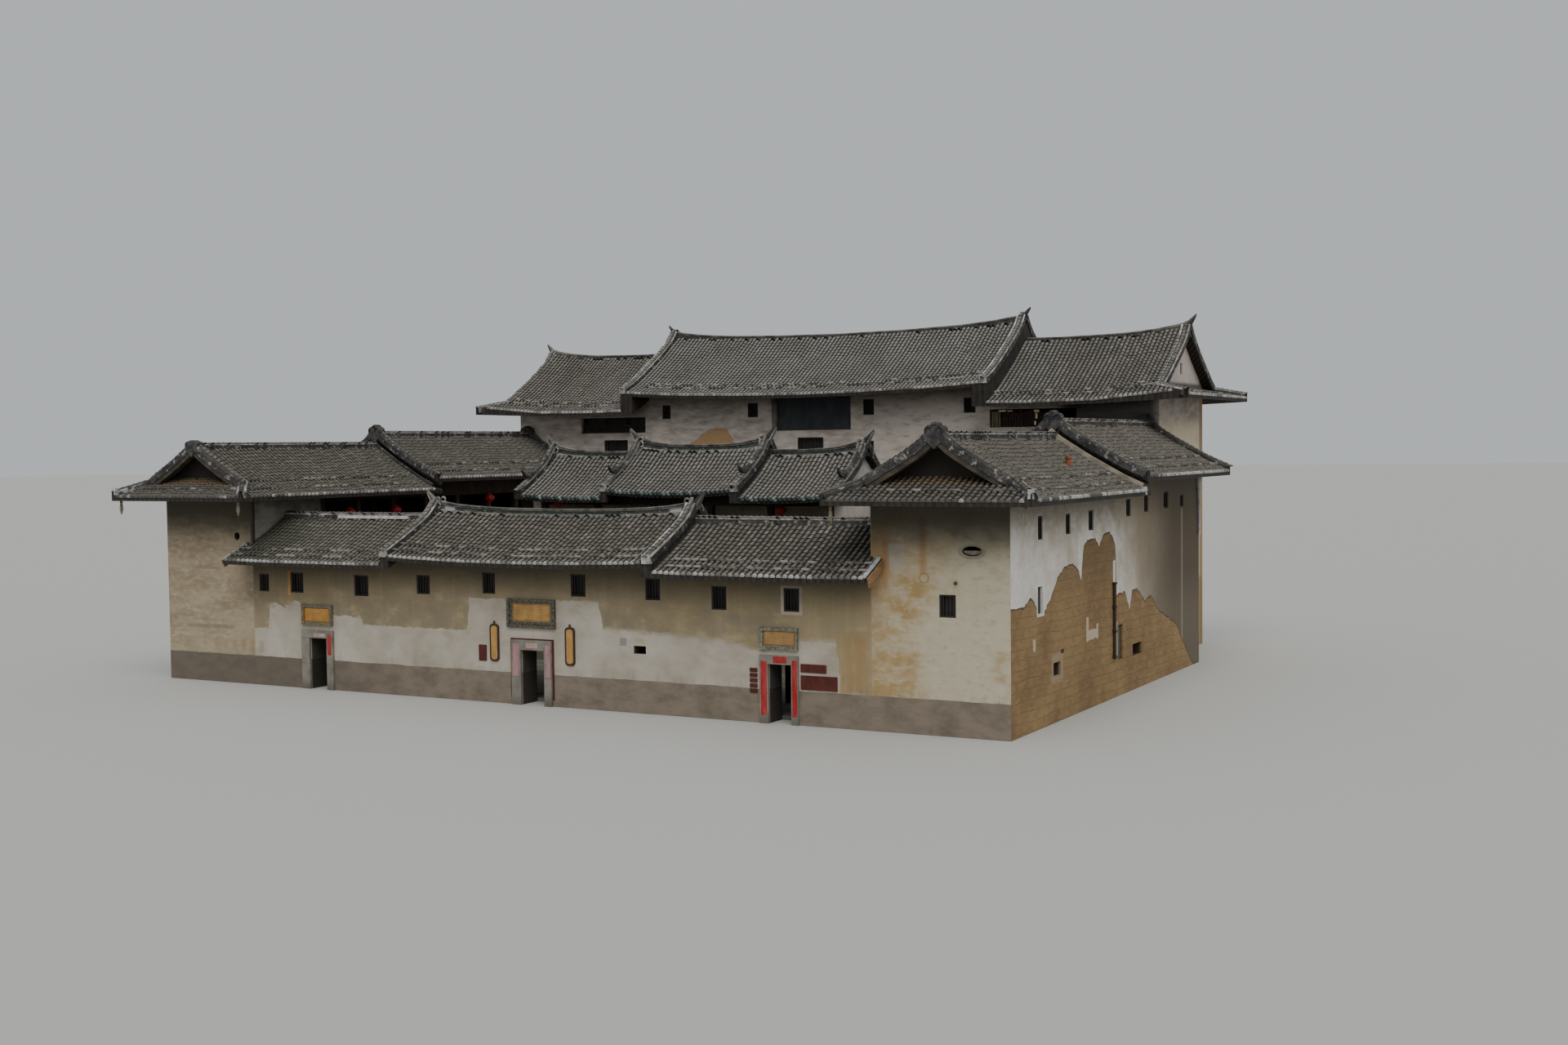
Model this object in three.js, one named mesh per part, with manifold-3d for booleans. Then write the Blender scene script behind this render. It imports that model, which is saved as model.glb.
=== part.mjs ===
// A rectangular tulou of five phoenix form, at half size: a low front hall and
// two wings with gabled fronts, a middle hall in the courtyard and a tall rear
// building. Sizes are in metres of the real house, and m makes them millimetres
// of the model. X runs along the front, Y goes back into the house, Z is up.

import * as THREE from "three";
import { mergeVertices } from "three/addons/utils/BufferGeometryUtils.js";
import Module from "manifold-3d";

const wasm = await Module();
wasm.setup();

const m = 500; // model millimetres for one real metre, half size
const gap = 0.0006; // joint between neighbouring pieces
const upright = 0.001; // run of a face that is as good as upright

// Plan: the front wall's face is at Y = 0 and the house is centred on X = 0.
const halfWidth = 23.1; // to the outer faces of the wings
const wingInner = 17.1; // the wings' faces towards the courtyard
const wallThick = 1.1; // rammed earth
const frameThick = 0.3; // timber frames, and the thin walls in line with them
const floorTop = 0.15; // paving inside the walls
const boardThick = 0.2; // upper floors, with their joists
const stepY = 13.1; // where the wing roofs step up
const hallBack = 4.8;
const middle = { half: 9.4, front: 12.9, back: 17.3, thick: 0.5 };
const rear = { half: 21.0, front: 27.1, back: 35.6 };

// Roofs: a shell of one thickness, with ribs of mortared tile on ridge and verge.
const shell = 0.2;
const ribHalf = 0.2;
const ribHigh = 0.26;
const vergeWide = 0.35;

// A function through a list of points, straight between them.
function through(points) {
  return (t) => {
    let i = 1;
    while (i < points.length - 1 && t > points[i][0]) i++;
    const [a, b] = [points[i - 1], points[i]];
    return a[1] + ((b[1] - a[1]) * (t - a[0])) / (b[0] - a[0]);
  };
}

// How far a roof has dropped at each distance from its ridge: a flat seat for
// the ridge, and then a slope that eases towards the eave.
const slopes = {
  hall: [[0, 0], [ribHalf, 0], [1.5, -0.75], [2.9, -1.45], [3.93, -1.93]],
  wing: [[0, 0], [ribHalf, 0], [1.6, -0.88], [3.3, -1.83], [4.45, -2.35]],
  middle: [[0, 0], [ribHalf, 0], [1.4, -0.92], [2.6, -1.62], [3.53, -2.1]],
  rear: [[0, 0], [ribHalf, 0], [2.0, -1.28], [4.2, -2.62], [5.2, -3.15], [6.15, -3.55]],
};

// A roof whose ridge runs along X at Y = line, or along Y at |X| = line. `lift`
// is the rise along the ridge, so that ridge and eaves sag between the ends.
function roof({ slope, line, ridge, lift, alongX = true }) {
  const drop = through(slope);
  const rise = through(lift);
  const distance = (x, y) => Math.abs(alongX ? y - line : Math.abs(x) - line);
  const level = (x, y) => ridge + drop(distance(x, y)) + rise(alongX ? Math.abs(x) : y);
  const offsets = [...slope.map((p) => p[0]), ribHalf + upright];
  return {
    line, level, distance, alongX,
    reach: slope.at(-1)[0],
    under: (x, y) => level(x, y) - shell,
    across: [...new Set(offsets.flatMap((d) => [line - d, line + d]))].sort((a, b) => a - b),
    along: lift.map((p) => p[0]),
  };
}

const noLift = [[0, 0], [30, 0]];
const hallCentre = roof({ slope: slopes.hall, line: 2.4, ridge: 8.45,
  lift: [[0, 0], [3, 0.03], [6, 0.12], [7.45, 0.2]] });
const hallSide = roof({ slope: slopes.hall, line: 2.4, ridge: 8.2,
  lift: [[7.0, 0.03], [9, 0], [15, 0], [17.6, 0.04]] });
const wingFront = roof({ slope: slopes.wing, line: 20.3, ridge: 11.75, lift: noLift, alongX: false });
const wingRear = roof({ slope: slopes.wing, line: 20.3, ridge: 12.38, lift: noLift, alongX: false });
const middleCentre = roof({ slope: slopes.middle, line: 15.1, ridge: 11.32,
  lift: [[0, 0], [2, 0.04], [4.1, 0.18]] });
const middleSide = roof({ slope: slopes.middle, line: 15.1, ridge: 11.05,
  lift: [[3.7, 0.03], [6, 0], [8, 0.06], [9.7, 0.2]] });
const rearCentre = roof({ slope: slopes.rear, line: 31.35, ridge: 18.12,
  lift: [[0, 0], [4, 0.05], [8, 0.16], [10, 0.26], [11.95, 0.4]] });
const rearSide = roof({ slope: slopes.rear, line: 31.35, ridge: 17.35,
  lift: [[11.1, 0.05], [14, 0], [18, 0.05], [21.5, 0.18], [23.1, 0.24]] });

// The middle part of each three-part roof runs out over the ends of the side
// parts: it reaches `half`, and the side parts start at `seat`.
const hallSpan = { half: 7.45, seat: 7.0, end: 17.6 };
const middleSpan = { half: 4.1, seat: 3.7, end: 9.7 };
const rearSpan = { half: 11.95, seat: 11.1 };

// Gabled ends with a pent roof below, measured along the ridge's direction. The
// verge leaves the gable at `foot` from the ridge and runs out as a hip.
const wingEnd = { wall: 0, verge: -0.8, eave: -2.04, foot: 3.3 };
const rearEnd = { wall: rear.half, verge: 21.5, eave: 23.1, foot: 5.2 };

const earth = new THREE.MeshStandardMaterial({ color: 0xb9a98c, roughness: 0.95 });
const plaster = new THREE.MeshStandardMaterial({ color: 0xd8d2c4, roughness: 0.9 });
const stone = new THREE.MeshStandardMaterial({ color: 0x8f8b84, roughness: 0.85 });
const tile = new THREE.MeshStandardMaterial({ color: 0x4b4742, roughness: 0.9 });
const timber = new THREE.MeshStandardMaterial({ color: 0x3a2a20, roughness: 0.8 });
const board = new THREE.MeshStandardMaterial({ color: 0xb07a3a, roughness: 0.7 });

// The origin is on the ground under the middle of the roofs' outline.
const house = new THREE.Group();
house.position.y = (-m * (wingEnd.eave + rearSide.line + rearSide.reach)) / 2;

function add(name, geometry, material) {
  const mesh = new THREE.Mesh(geometry, material);
  mesh.name = name;
  house.add(mesh);
}

// A slab over the stations xs and ys, from under up to top. `plan` may move a
// station's point; top and under get the moved point and then the station.
function slab(xs, ys, top, under, plan = (x, y) => [x, y]) {
  const [nx, ny] = [xs.length - 1, ys.length - 1];
  const raw = new THREE.BoxGeometry(1, 1, 1, nx, ny, 1);
  raw.deleteAttribute("normal");
  raw.deleteAttribute("uv");
  const geometry = mergeVertices(raw);
  const p = geometry.attributes.position;
  for (let i = 0; i < p.count; i++) {
    const sx = xs[Math.round((p.getX(i) + 0.5) * nx)];
    const sy = ys[Math.round((p.getY(i) + 0.5) * ny)];
    const [x, y] = plan(sx, sy);
    const height = p.getZ(i) > 0 ? top : under;
    p.setXYZ(i, x * m, y * m, height(x, y, sx, sy) * m);
  }
  return geometry;
}

const box = (x0, x1, y0, y1, z0, z1) => slab([x0, x1], [y0, y1], () => z1, () => z0);

function solid(geometry) {
  return new wasm.Manifold(
    new wasm.Mesh({
      numProp: 3,
      vertProperties: new Float32Array(geometry.attributes.position.array),
      triVerts: new Uint32Array(geometry.index.array),
    }),
  );
}

function fromSolid(body) {
  const mesh = body.getMesh();
  const geometry = new THREE.BufferGeometry();
  geometry.setAttribute("position", new THREE.BufferAttribute(mesh.vertProperties, 3));
  geometry.setIndex(new THREE.BufferAttribute(mesh.triVerts, 1));
  return geometry;
}

const joined = (first, ...others) =>
  fromSolid(others.reduce((whole, piece) => whole.add(solid(piece)), solid(first)));

const cut = (geometry, cutters) =>
  fromSolid(cutters.reduce((whole, piece) => whole.subtract(solid(piece)), solid(geometry)));

// Rising stations from one number to another, by way of those listed between.
const stations = (from, to, ...lists) =>
  [...new Set([from, ...lists.flat().filter((s) => s > from && s < to), to])].sort((a, b) => a - b);

const mirrored = (list) => list.flatMap((s) => [-s, s]);

// The interval from near to far on one side of the house, in rising order.
const onSide = (side, near, far) => (side < 0 ? [-far, -near] : [near, far]);

// The rib of tile over a verge, and over a ridge that carries no piece of its own.
function rib(fromRidge, fromVerge, plainRidge) {
  if (fromRidge < ribHalf + upright / 2) return plainRidge ? ribHigh : 0;
  return fromVerge < vergeWide + upright / 2 ? ribHigh : 0;
}

// The raised middle part of a roof. Past the seat it reaches down to the sides,
// and to the plain ribs on their ridges where they have them.
function centreRoof(centre, side, { half, seat }, plainSides = false) {
  const edge = half - vergeWide;
  return slab(
    stations(-half, half, mirrored([...centre.along, edge, edge - upright, seat, seat + upright])),
    centre.across,
    (x, y) => centre.level(x, y) + rib(centre.distance(x, y), half - Math.abs(x), false),
    (x, y) =>
      Math.abs(x) > seat
        ? side.level(x, y) + rib(side.distance(x, y), half, plainSides) + gap
        : centre.under(x, y),
  );
}

// The side part of a three-part roof, straight to its verge at span.end.
function sideRoof(side, roofed, { seat, end }, plainRidge, plan) {
  const edge = end - vergeWide;
  return slab(
    stations(...onSide(side, seat + upright + gap, end),
      mirrored([...roofed.along, ...(plan ? [] : [edge, edge - upright])])),
    stations(roofed.across[0], roofed.across.at(-1), roofed.across, plan ? [-gap, -gap - upright] : []),
    (x, y, sx) =>
      roofed.level(x, y) + rib(roofed.distance(x, y), plan ? end : end - Math.abs(sx), plainRidge),
    (x, y) => roofed.under(x, y),
    plan,
  );
}

// A roof with a gabled end, whose verge turns out along the hips to the corners
// of the eave. `from` is its plain end, and `grown` makes it larger all round.
function gabledRoof(roofed, end, from, side, alongX, plainRidge, grown = 0) {
  const out = Math.sign(end.eave - end.wall);
  const sign = alongX ? side : 1;
  const verge = end.verge + out * grown;
  const inner = [end.verge - out * vergeWide, end.verge - out * (vergeWide + upright)];
  const along = stations(...[sign * from, sign * verge].sort((a, b) => a - b),
    [...inner, ...(alongX ? roofed.along.filter((s) => s < inner[1]) : [])].map((s) => s * sign));
  const across = alongX ? roofed.across : roofed.across.map((s) => s * side).sort((a, b) => a - b);
  const flare = through([[0, 0], [end.foot, 0], [roofed.reach, Math.abs(end.eave - end.verge)]]);
  const fromVerge = (s) => Math.abs(s * sign - verge);
  const move = (s, distance) =>
    fromVerge(s) < vergeWide + 2 * upright + grown ? s + sign * out * flare(distance) : s;
  return slab(
    alongX ? along : across,
    alongX ? across : along,
    (x, y, sx, sy) =>
      roofed.level(x, y) + grown +
      rib(roofed.distance(x, y), fromVerge(alongX ? sx : sy) - upright / 2, plainRidge),
    (x, y) => roofed.under(x, y) - grown,
    (x, y) => {
      const distance = roofed.distance(x, y);
      return alongX ? [move(x, distance), y] : [x, move(y, distance)];
    },
  );
}

// The pent roof under a gable, between the hips, cut clear of the roof above.
function pentRoof(roofed, end, side, alongX, above) {
  const spread = through([[end.verge, end.foot], [end.eave, roofed.reach]].sort((a, b) => a[0] - b[0]));
  const atHip = (s) => {
    const d = roofed.line + spread(s);
    return alongX ? roofed.level(s, d) : roofed.level(d, s);
  };
  const fall = (atHip(end.verge) - atHip(end.eave)) / Math.abs(end.eave - end.verge);
  const height = (s) => atHip(end.eave) + fall * Math.abs(end.eave - s);
  const out = Math.sign(end.eave - end.wall);
  const rows = [end.wall + out * gap, end.eave].map((s) => (alongX ? s * side : s));
  rows.sort((a, b) => a - b);
  const place = (s, half) => {
    const t = alongX ? Math.abs(s) : s;
    return (alongX ? roofed.line : side * roofed.line) + half * spread(t);
  };
  const pent = alongX
    ? slab(rows, [-1, 1], (x) => height(Math.abs(x)), (x) => height(Math.abs(x)) - shell,
      (x, y) => [x, place(x, y)])
    : slab([-1, 1], rows, (x, y) => height(y), (x, y) => height(y) - shell,
      (x, y) => [place(y, x), y]);
  return cut(pent, [above]);
}

// A wall up to the underside of a roof, less the openings cut through it.
function wallUnder(roofed, x0, x1, y0, y1, z0, openings = []) {
  const xs = mirrored(roofed.alongX ? roofed.along : roofed.across);
  const wall = slab(stations(x0, x1, xs), stations(y0, y1, roofed.alongX ? roofed.across : []),
    (x, y) => roofed.under(x, y) - gap, () => z0);
  return openings.length ? cut(wall, openings) : wall;
}

// A wall under all three parts of a roof, stepping at the seat.
function longWallUnder(centre, side, { seat }, half, y0, y1, z0, openings) {
  const wall = slab(
    stations(-half, half, mirrored([...centre.along.filter((s) => s < seat), seat, seat + upright,
      ...side.along.filter((s) => s > seat)])),
    stations(y0, y1, centre.across),
    (x, y) => (Math.abs(x) > seat ? side.under(x, y) : centre.under(x, y)) - gap,
    () => z0,
  );
  return cut(wall, openings);
}

// Cutters for openings: square or oval through a wall that faces the front, and
// square through one that faces the side. Each is [from, to, sill, head].
const past = 0.2; // how far a cutter runs past the wall's faces
const frontHoles = (list, y0, y1) =>
  list.map(([a, b, sill, head]) => box(a, b, y0 - past, y1 + past, sill, head));
const ovalSides = 16;
const ovalHoles = (list, y0, y1) =>
  list.map(([a, b, sill, head]) => {
    const raw = new THREE.CylinderGeometry(0.5, 0.5, 1, ovalSides);
    raw.deleteAttribute("normal");
    raw.deleteAttribute("uv");
    return mergeVertices(raw)
      .scale((b - a) * m, (y1 - y0 + 2 * past) * m, (head - sill) * m)
      .translate(((a + b) / 2) * m, ((y0 + y1) / 2) * m, ((sill + head) / 2) * m);
  });
const sideHoles = (list, x0, x1) =>
  list.map(([a, b, sill, head]) => box(x0 - past, x1 + past, a, b, sill, head));

// A ridge wall on the seat of a roof, rising to a horn past each end named.
function ridgeWall(roofed, from, to, high, rise, horns) {
  const ridgeHalf = 0.16;
  const hornReach = 0.55;
  const steps = 12;
  const end = Math.max(Math.abs(from), Math.abs(to));
  const xs = [];
  for (let i = 0; i <= steps; i++) xs.push(from + ((to - from) * i) / steps);
  if (horns.includes(-1)) xs.unshift(from - hornReach, from - hornReach / 2);
  if (horns.includes(1)) xs.push(to + hornReach / 2, to + hornReach);
  const all = stations(xs[0], xs.at(-1), xs, mirrored(roofed.along));
  const beyond = (x) => Math.max(x - to, from - x, 0) / hornReach;
  const curve = (x) => {
    const near = horns.length === 2 ? Math.abs(x) / end
      : (horns[0] > 0 ? x - from : to - x) / (to - from);
    return high + rise * Math.min(near, 1) ** 5;
  };
  const seatAt = (x) => roofed.level(Math.min(Math.max(x, from), to), roofed.line);
  const tipRise = 0.45;
  return slab(
    all,
    [roofed.line - ridgeHalf, roofed.line + ridgeHalf],
    (x) => seatAt(x) + curve(x) + tipRise * beyond(x),
    (x) => seatAt(x) + gap + (curve(x) + tipRise - 0.1) * beyond(x),
  );
}

// Paving inside the walls, which the inner walls and timber frames stand on.
const inside = halfWidth - wallThick;
add(
  "courtyard_floor",
  joined(
    box(-inside, inside, wallThick, rear.front, 0, floorTop),
    box(-rear.half + wallThick, rear.half - wallThick, rear.front, rear.back - wallThick, 0, floorTop),
  ),
  stone,
);

// Front hall: three lengths of earth wall, each with a doorway and windows.
const doorHead = 2.5;
const doorways = { left: [-13.34, -12.23], centre: [-0.51, 0.8], right: [12.34, 13.44] };
const hallWindows = {
  left: [[-16.7, -16.05, 4.68, 5.56], [-14.6, -13.76, 4.68, 5.68], [-10.47, -9.58, 4.64, 5.65]],
  centre: [[-6.6, -5.8, 4.85, 5.75], [-2.7, -1.97, 4.99, 5.97], [2.26, 3.06, 5.01, 6.01],
    [5.57, 6.21, 2.6, 2.95], [6.22, 6.98, 4.98, 5.93]],
  right: [[9.57, 10.31, 4.68, 5.69], [13.07, 13.8, 4.72, 5.7]],
};
for (const [part, roofed, x0, x1] of [
  ["left", hallSide, -wingInner + gap, -hallSpan.seat],
  ["centre", hallCentre, -hallSpan.seat + gap, hallSpan.seat - gap],
  ["right", hallSide, hallSpan.seat, wingInner - gap],
]) {
  const holes = frontHoles([[...doorways[part], -past, doorHead], ...hallWindows[part]], 0, wallThick);
  add("hall_front_wall_" + part, wallUnder(roofed, x0, x1, 0, wallThick, 0, holes), earth);
}

// Stone surrounds stand against the wall round each doorway, and boards for
// names and verses are fixed over and beside them.
const proud = 0.12;
const surrounds = {
  left: { frame: [-13.85, -11.83, 2.89], board: [-13.83, -11.86, 3.13, 4.14] },
  centre: { frame: [-1.02, 1.19, 2.96], board: [-1.26, 1.42, 3.5, 4.82] },
  right: { frame: [11.93, 13.76, 2.88], board: [11.95, 13.75, 3.1, 4.04] },
};
for (const [part, size] of Object.entries(surrounds)) {
  const [x0, x1, top] = size.frame;
  add(
    part + "_door_surround",
    cut(box(x0, x1, -proud, -gap, 0, top),
      frontHoles([[...doorways[part], -past, doorHead]], -proud, 0)),
    stone,
  );
  const [b0, b1, sill, head] = size.board;
  const rim = 0.14;
  add(
    part + "_name_board",
    cut(box(b0, b1, -proud, -gap, sill, head),
      [box(b0 + rim, b1 - rim, -proud - past, -proud / 2, sill + rim, head - rim)]),
    board,
  );
}
for (const [word, x0, x1] of [["left", -2.29, -1.77], ["right", 1.93, 2.46]]) {
  add("verse_board_" + word, box(x0, x1, -0.08, -gap, 1.9, 3.62), board);
}

// The hall's upper floor, and the timber front that it turns to the courtyard.
const hallFloor = 3.6;
const frameFace = hallBack - frameThick;
add(
  "hall_upper_floor",
  box(-wingInner + gap, wingInner - gap, wallThick + gap, frameFace - gap,
    hallFloor - boardThick, hallFloor),
  timber,
);
const bayHoles = (from, to, bays, post, rows) => {
  const pitch = (to - from - post) / bays;
  const holes = [];
  for (let i = 0; i < bays; i++) {
    const a = from + post + i * pitch;
    for (const [sill, head] of rows) holes.push([a, a + pitch - post, sill, head]);
  }
  return holes;
};
const postWide = 0.3;
add(
  "hall_courtyard_frame",
  longWallUnder(hallCentre, hallSide, hallSpan, wingInner - gap, frameFace, hallBack, floorTop,
    frontHoles(bayHoles(-wingInner, wingInner, 11, postWide,
      [[floorTop - past, 3.1], [4.5, 5.8]]), frameFace, hallBack)),
  timber,
);

// The hall's eaves run on past the wings' corners, in front of their walls.
const notch = (side) => (x, y) =>
  Math.abs(x) === hallSpan.end && y > -gap - upright / 2 ? [side * (wingInner - gap), y] : [x, y];
add("hall_centre_roof", centreRoof(hallCentre, hallSide, hallSpan, true), tile);
add("hall_left_roof", sideRoof(-1, hallSide, hallSpan, true, notch(-1)), tile);
add("hall_right_roof", sideRoof(1, hallSide, hallSpan, true, notch(1)), tile);
add("hall_ridge", ridgeWall(hallCentre, -7.3, 7.3, 0.36, 0.2, [-1, 1]), tile);

// Wings: a gabled front wall with a thin return along the hall, a long side wall
// that closes the back corner, a timber gallery front on the courtyard and floors.
const wingFloors = [3.6, 6.9];
const wingBack = rear.front - gap;
const wingFace = wingInner + frameThick;
const frontWindows = { left: [], right: [[20.09, 20.81, 4.73, 5.64]] };
const frontVents = { left: [[-18.37, -17.97, 7.2, 7.6]], right: [[21.08, 21.93, 7.18, 7.58]] };
const slots = [
  [3.08, 3.64, 7.69, 8.65], [6.4, 7.01, 7.75, 8.61], [9.35, 10.0, 7.77, 8.64],
  [14.68, 15.36, 8.16, 8.97], [17.47, 18.13, 8.26, 9.08], [20.71, 21.49, 8.32, 9.14],
  [23.59, 24.19, 8.3, 8.9], [3.03, 3.6, 4.68, 5.79], [13.34, 14.13, 1.66, 3.25],
  [4.82, 5.71, 1.93, 2.5], [15.61, 17.02, 1.58, 2.15],
];
const steppedWall = (x0, x1, y0, y1, z0) => {
  const wall = slab(
    stations(x0, x1, mirrored(wingFront.across)),
    stations(y0, y1, [stepY, stepY + upright]),
    (x, y) => (y > stepY ? wingRear : wingFront).under(x, y) - gap,
    () => z0,
  );
  return wall;
};
for (const [word, side] of [["left", -1], ["right", 1]]) {
  const name = (piece) => word + "_wing_" + piece;
  const span = (near, far) => onSide(side, near, far);

  add(
    name("front_wall"),
    joined(
      wallUnder(wingFront, ...span(wingInner, halfWidth), 0, wallThick, 0,
        [...frontHoles(frontWindows[word], 0, wallThick), ...ovalHoles(frontVents[word], 0, wallThick)]),
      wallUnder(wingFront, ...span(wingInner, wingFace), wallThick, hallBack, floorTop),
    ),
    earth,
  );
  add(
    name("side_wall"),
    cut(
      joined(
        steppedWall(...span(inside, halfWidth), wallThick + gap, wingBack, 0),
        wallUnder(wingRear, ...span(rear.half, inside), wingBack - wallThick, wingBack, floorTop),
      ),
      sideHoles(slots, ...span(inside, halfWidth)),
    ),
    plaster,
  );
  add(
    name("gallery_frame"),
    cut(
      steppedWall(...span(wingInner, wingFace), hallBack + gap, wingBack, floorTop),
      sideHoles(
        bayHoles(hallBack, wingBack, 8, postWide,
          [[floorTop - past, 3.1], [4.5, 6.3], [7.8, 9.0]]),
        ...span(wingInner, wingFace)),
    ),
    timber,
  );
  for (const [i, z] of wingFloors.entries()) {
    add(
      name("floor_" + (i + 2)),
      box(...span(wingFace + gap, inside - gap), wallThick + gap, wingBack - wallThick - gap,
        z - boardThick, z),
      timber,
    );
  }

  const front = (grown) => gabledRoof(wingFront, wingEnd, stepY - upright - gap, side, false, true, grown);
  add(name("front_roof"), front(0), tile);
  add(name("pent_roof"), pentRoof(wingFront, wingEnd, side, false, front(gap)), tile);

  // The rear part starts over the front part's end and reaches down to it.
  const [verge, strip] = [stepY - 0.5, stepY - 0.35];
  add(
    name("rear_roof"),
    slab(
      wingRear.across.map((s) => s * side).sort((a, b) => a - b),
      stations(verge, wingBack,
        [strip, strip + upright, verge + vergeWide, verge + vergeWide + upright, stepY, stepY + upright,
          wingBack - vergeWide - upright, wingBack - vergeWide]),
      (x, y) =>
        wingRear.level(x, y) + rib(wingRear.distance(x, y), Math.min(y - verge, wingBack - y), true),
      (x, y) => (y > strip && y <= stepY ? wingFront.level(x, y) + ribHigh + gap : wingRear.under(x, y)),
    ),
    tile,
  );
}

// Middle hall: white gable walls, a back wall with a doorway and an open front of
// timber posts, on the paving of the courtyard.
for (const [word, side] of [["left", -1], ["right", 1]]) {
  add(
    "middle_hall_" + word + "_gable",
    wallUnder(middleSide, ...onSide(side, middle.half - middle.thick, middle.half),
      middle.front, middle.back, floorTop),
    plaster,
  );
}
const middleInner = middle.half - middle.thick - gap;
add(
  "middle_hall_back_wall",
  longWallUnder(middleCentre, middleSide, middleSpan, middleInner,
    middle.back - middle.thick, middle.back, floorTop,
    frontHoles([[-1.1, 1.1, floorTop - past, 3.0]], middle.back - middle.thick, middle.back)),
  plaster,
);
add(
  "middle_hall_front_frame",
  longWallUnder(middleCentre, middleSide, middleSpan, middleInner,
    middle.front, middle.front + frameThick, floorTop,
    frontHoles(bayHoles(-middleInner, middleInner, 5, postWide, [[floorTop - past, 8.6]]),
      middle.front, middle.front + frameThick)),
  timber,
);
add("middle_hall_centre_roof", centreRoof(middleCentre, middleSide, middleSpan), tile);
add("middle_hall_centre_ridge", ridgeWall(middleCentre, -3.95, 3.95, 0.42, 0.3, [-1, 1]), tile);
for (const [word, side] of [["left", -1], ["right", 1]]) {
  add("middle_hall_" + word + "_roof", sideRoof(side, middleSide, middleSpan, false), tile);
  add(
    "middle_hall_" + word + "_ridge",
    ridgeWall(middleSide, ...onSide(side, middleSpan.half + 0.1, 9.5), 0.38, 0.3, [side]),
    tile,
  );
}

// Rear building: earth walls all round with rows of small windows, and timber
// galleries open under the front eaves.
const rearFloors = [6.2, 9.3, 12.4];
const rearHoles = {
  galleries: [[-16.24, -11.4, 12.54, 13.5], [-2.46, 2.78, 12.52, 14.67], [11.4, 16.46, 12.5, 13.5]],
  low: [[-14.49, -12.73, 11.2, 12.1], [-0.73, 0.98, 11.2, 12.1], [12.99, 14.28, 11.2, 12.1]],
  small: [[-10.15, -9.55, 13.35, 14.2], [-4.09, -3.39, 13.35, 14.2], [3.59, 4.28, 13.35, 14.25],
    [9.85, 10.56, 13.35, 14.2], [3.7, 4.25, 10.88, 11.85]],
  lower: [[-14.2, -13.4, 7.4, 8.2], [-7.4, -6.6, 7.4, 8.2], [6.6, 7.4, 7.4, 8.2], [13.4, 14.2, 7.4, 8.2]],
  doorway: [[-1.2, 1.2, floorTop - past, 2.6]],
};
const rearInner = rear.half - wallThick;
const pavingUnder = [-rearInner, rearInner, -past, floorTop];
add(
  "rear_front_wall",
  longWallUnder(rearCentre, rearSide, rearSpan, rear.half, rear.front, rear.front + wallThick, 0,
    frontHoles([pavingUnder, ...Object.values(rearHoles).flat()], rear.front, rear.front + wallThick)),
  earth,
);
const backRows = [[7.4, 8.2], [10.6, 11.5], [13.1, 13.9]];
const backHoles = [-17.5, -14, -7, -3.5, 3.5, 7, 14, 17.5].flatMap((x) =>
  backRows.map(([sill, head]) => [x - 0.35, x + 0.35, sill, head]));
add(
  "rear_back_wall",
  longWallUnder(rearCentre, rearSide, rearSpan, rear.half, rear.back - wallThick, rear.back,
    0, frontHoles(backHoles, rear.back - wallThick, rear.back)),
  earth,
);
for (const [i, z] of rearFloors.entries()) {
  add(
    "rear_floor_" + (i + 3),
    box(-rearInner + gap, rearInner - gap, rear.front + wallThick + gap, rear.back - wallThick - gap,
      z - boardThick, z),
    timber,
  );
}
add("rear_centre_roof", centreRoof(rearCentre, rearSide, rearSpan), tile);
add("rear_centre_ridge", ridgeWall(rearCentre, -11.7, 11.7, 0.28, 0.2, [-1, 1]), tile);
const gableVent = [31.1, 31.5, 15.3, 15.9];
for (const [word, side] of [["left", -1], ["right", 1]]) {
  add(
    "rear_" + word + "_end_wall",
    wallUnder(rearSide, ...onSide(side, rearInner, rear.half), rear.front + wallThick + gap,
      rear.back - wallThick - gap, 0, sideHoles([gableVent], ...onSide(side, rearInner, rear.half))),
    plaster,
  );
  const main = (grown) =>
    gabledRoof(rearSide, rearEnd, rearSpan.seat + upright + gap, side, true, false, grown);
  add("rear_" + word + "_roof", main(0), tile);
  add("rear_" + word + "_pent_roof", pentRoof(rearSide, rearEnd, side, true, main(gap)), tile);
  add(
    "rear_" + word + "_ridge",
    ridgeWall(rearSide, ...onSide(side, rearSpan.half + 0.1, 21.3), 0.28, 0.35, [side]),
    tile,
  );
}

export default house;
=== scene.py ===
"""The looks of a rectangular tulou at half size: plaster and bare earth, dark timber,
rows of clay tile with mortared ridges and horns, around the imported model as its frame.
Sizes in the sections are metres of the real house, unless a comment says otherwise."""

import math
import random

import bmesh
import bpy
from mathutils import Matrix, Vector
from mathutils.bvhtree import BVHTree


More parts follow.
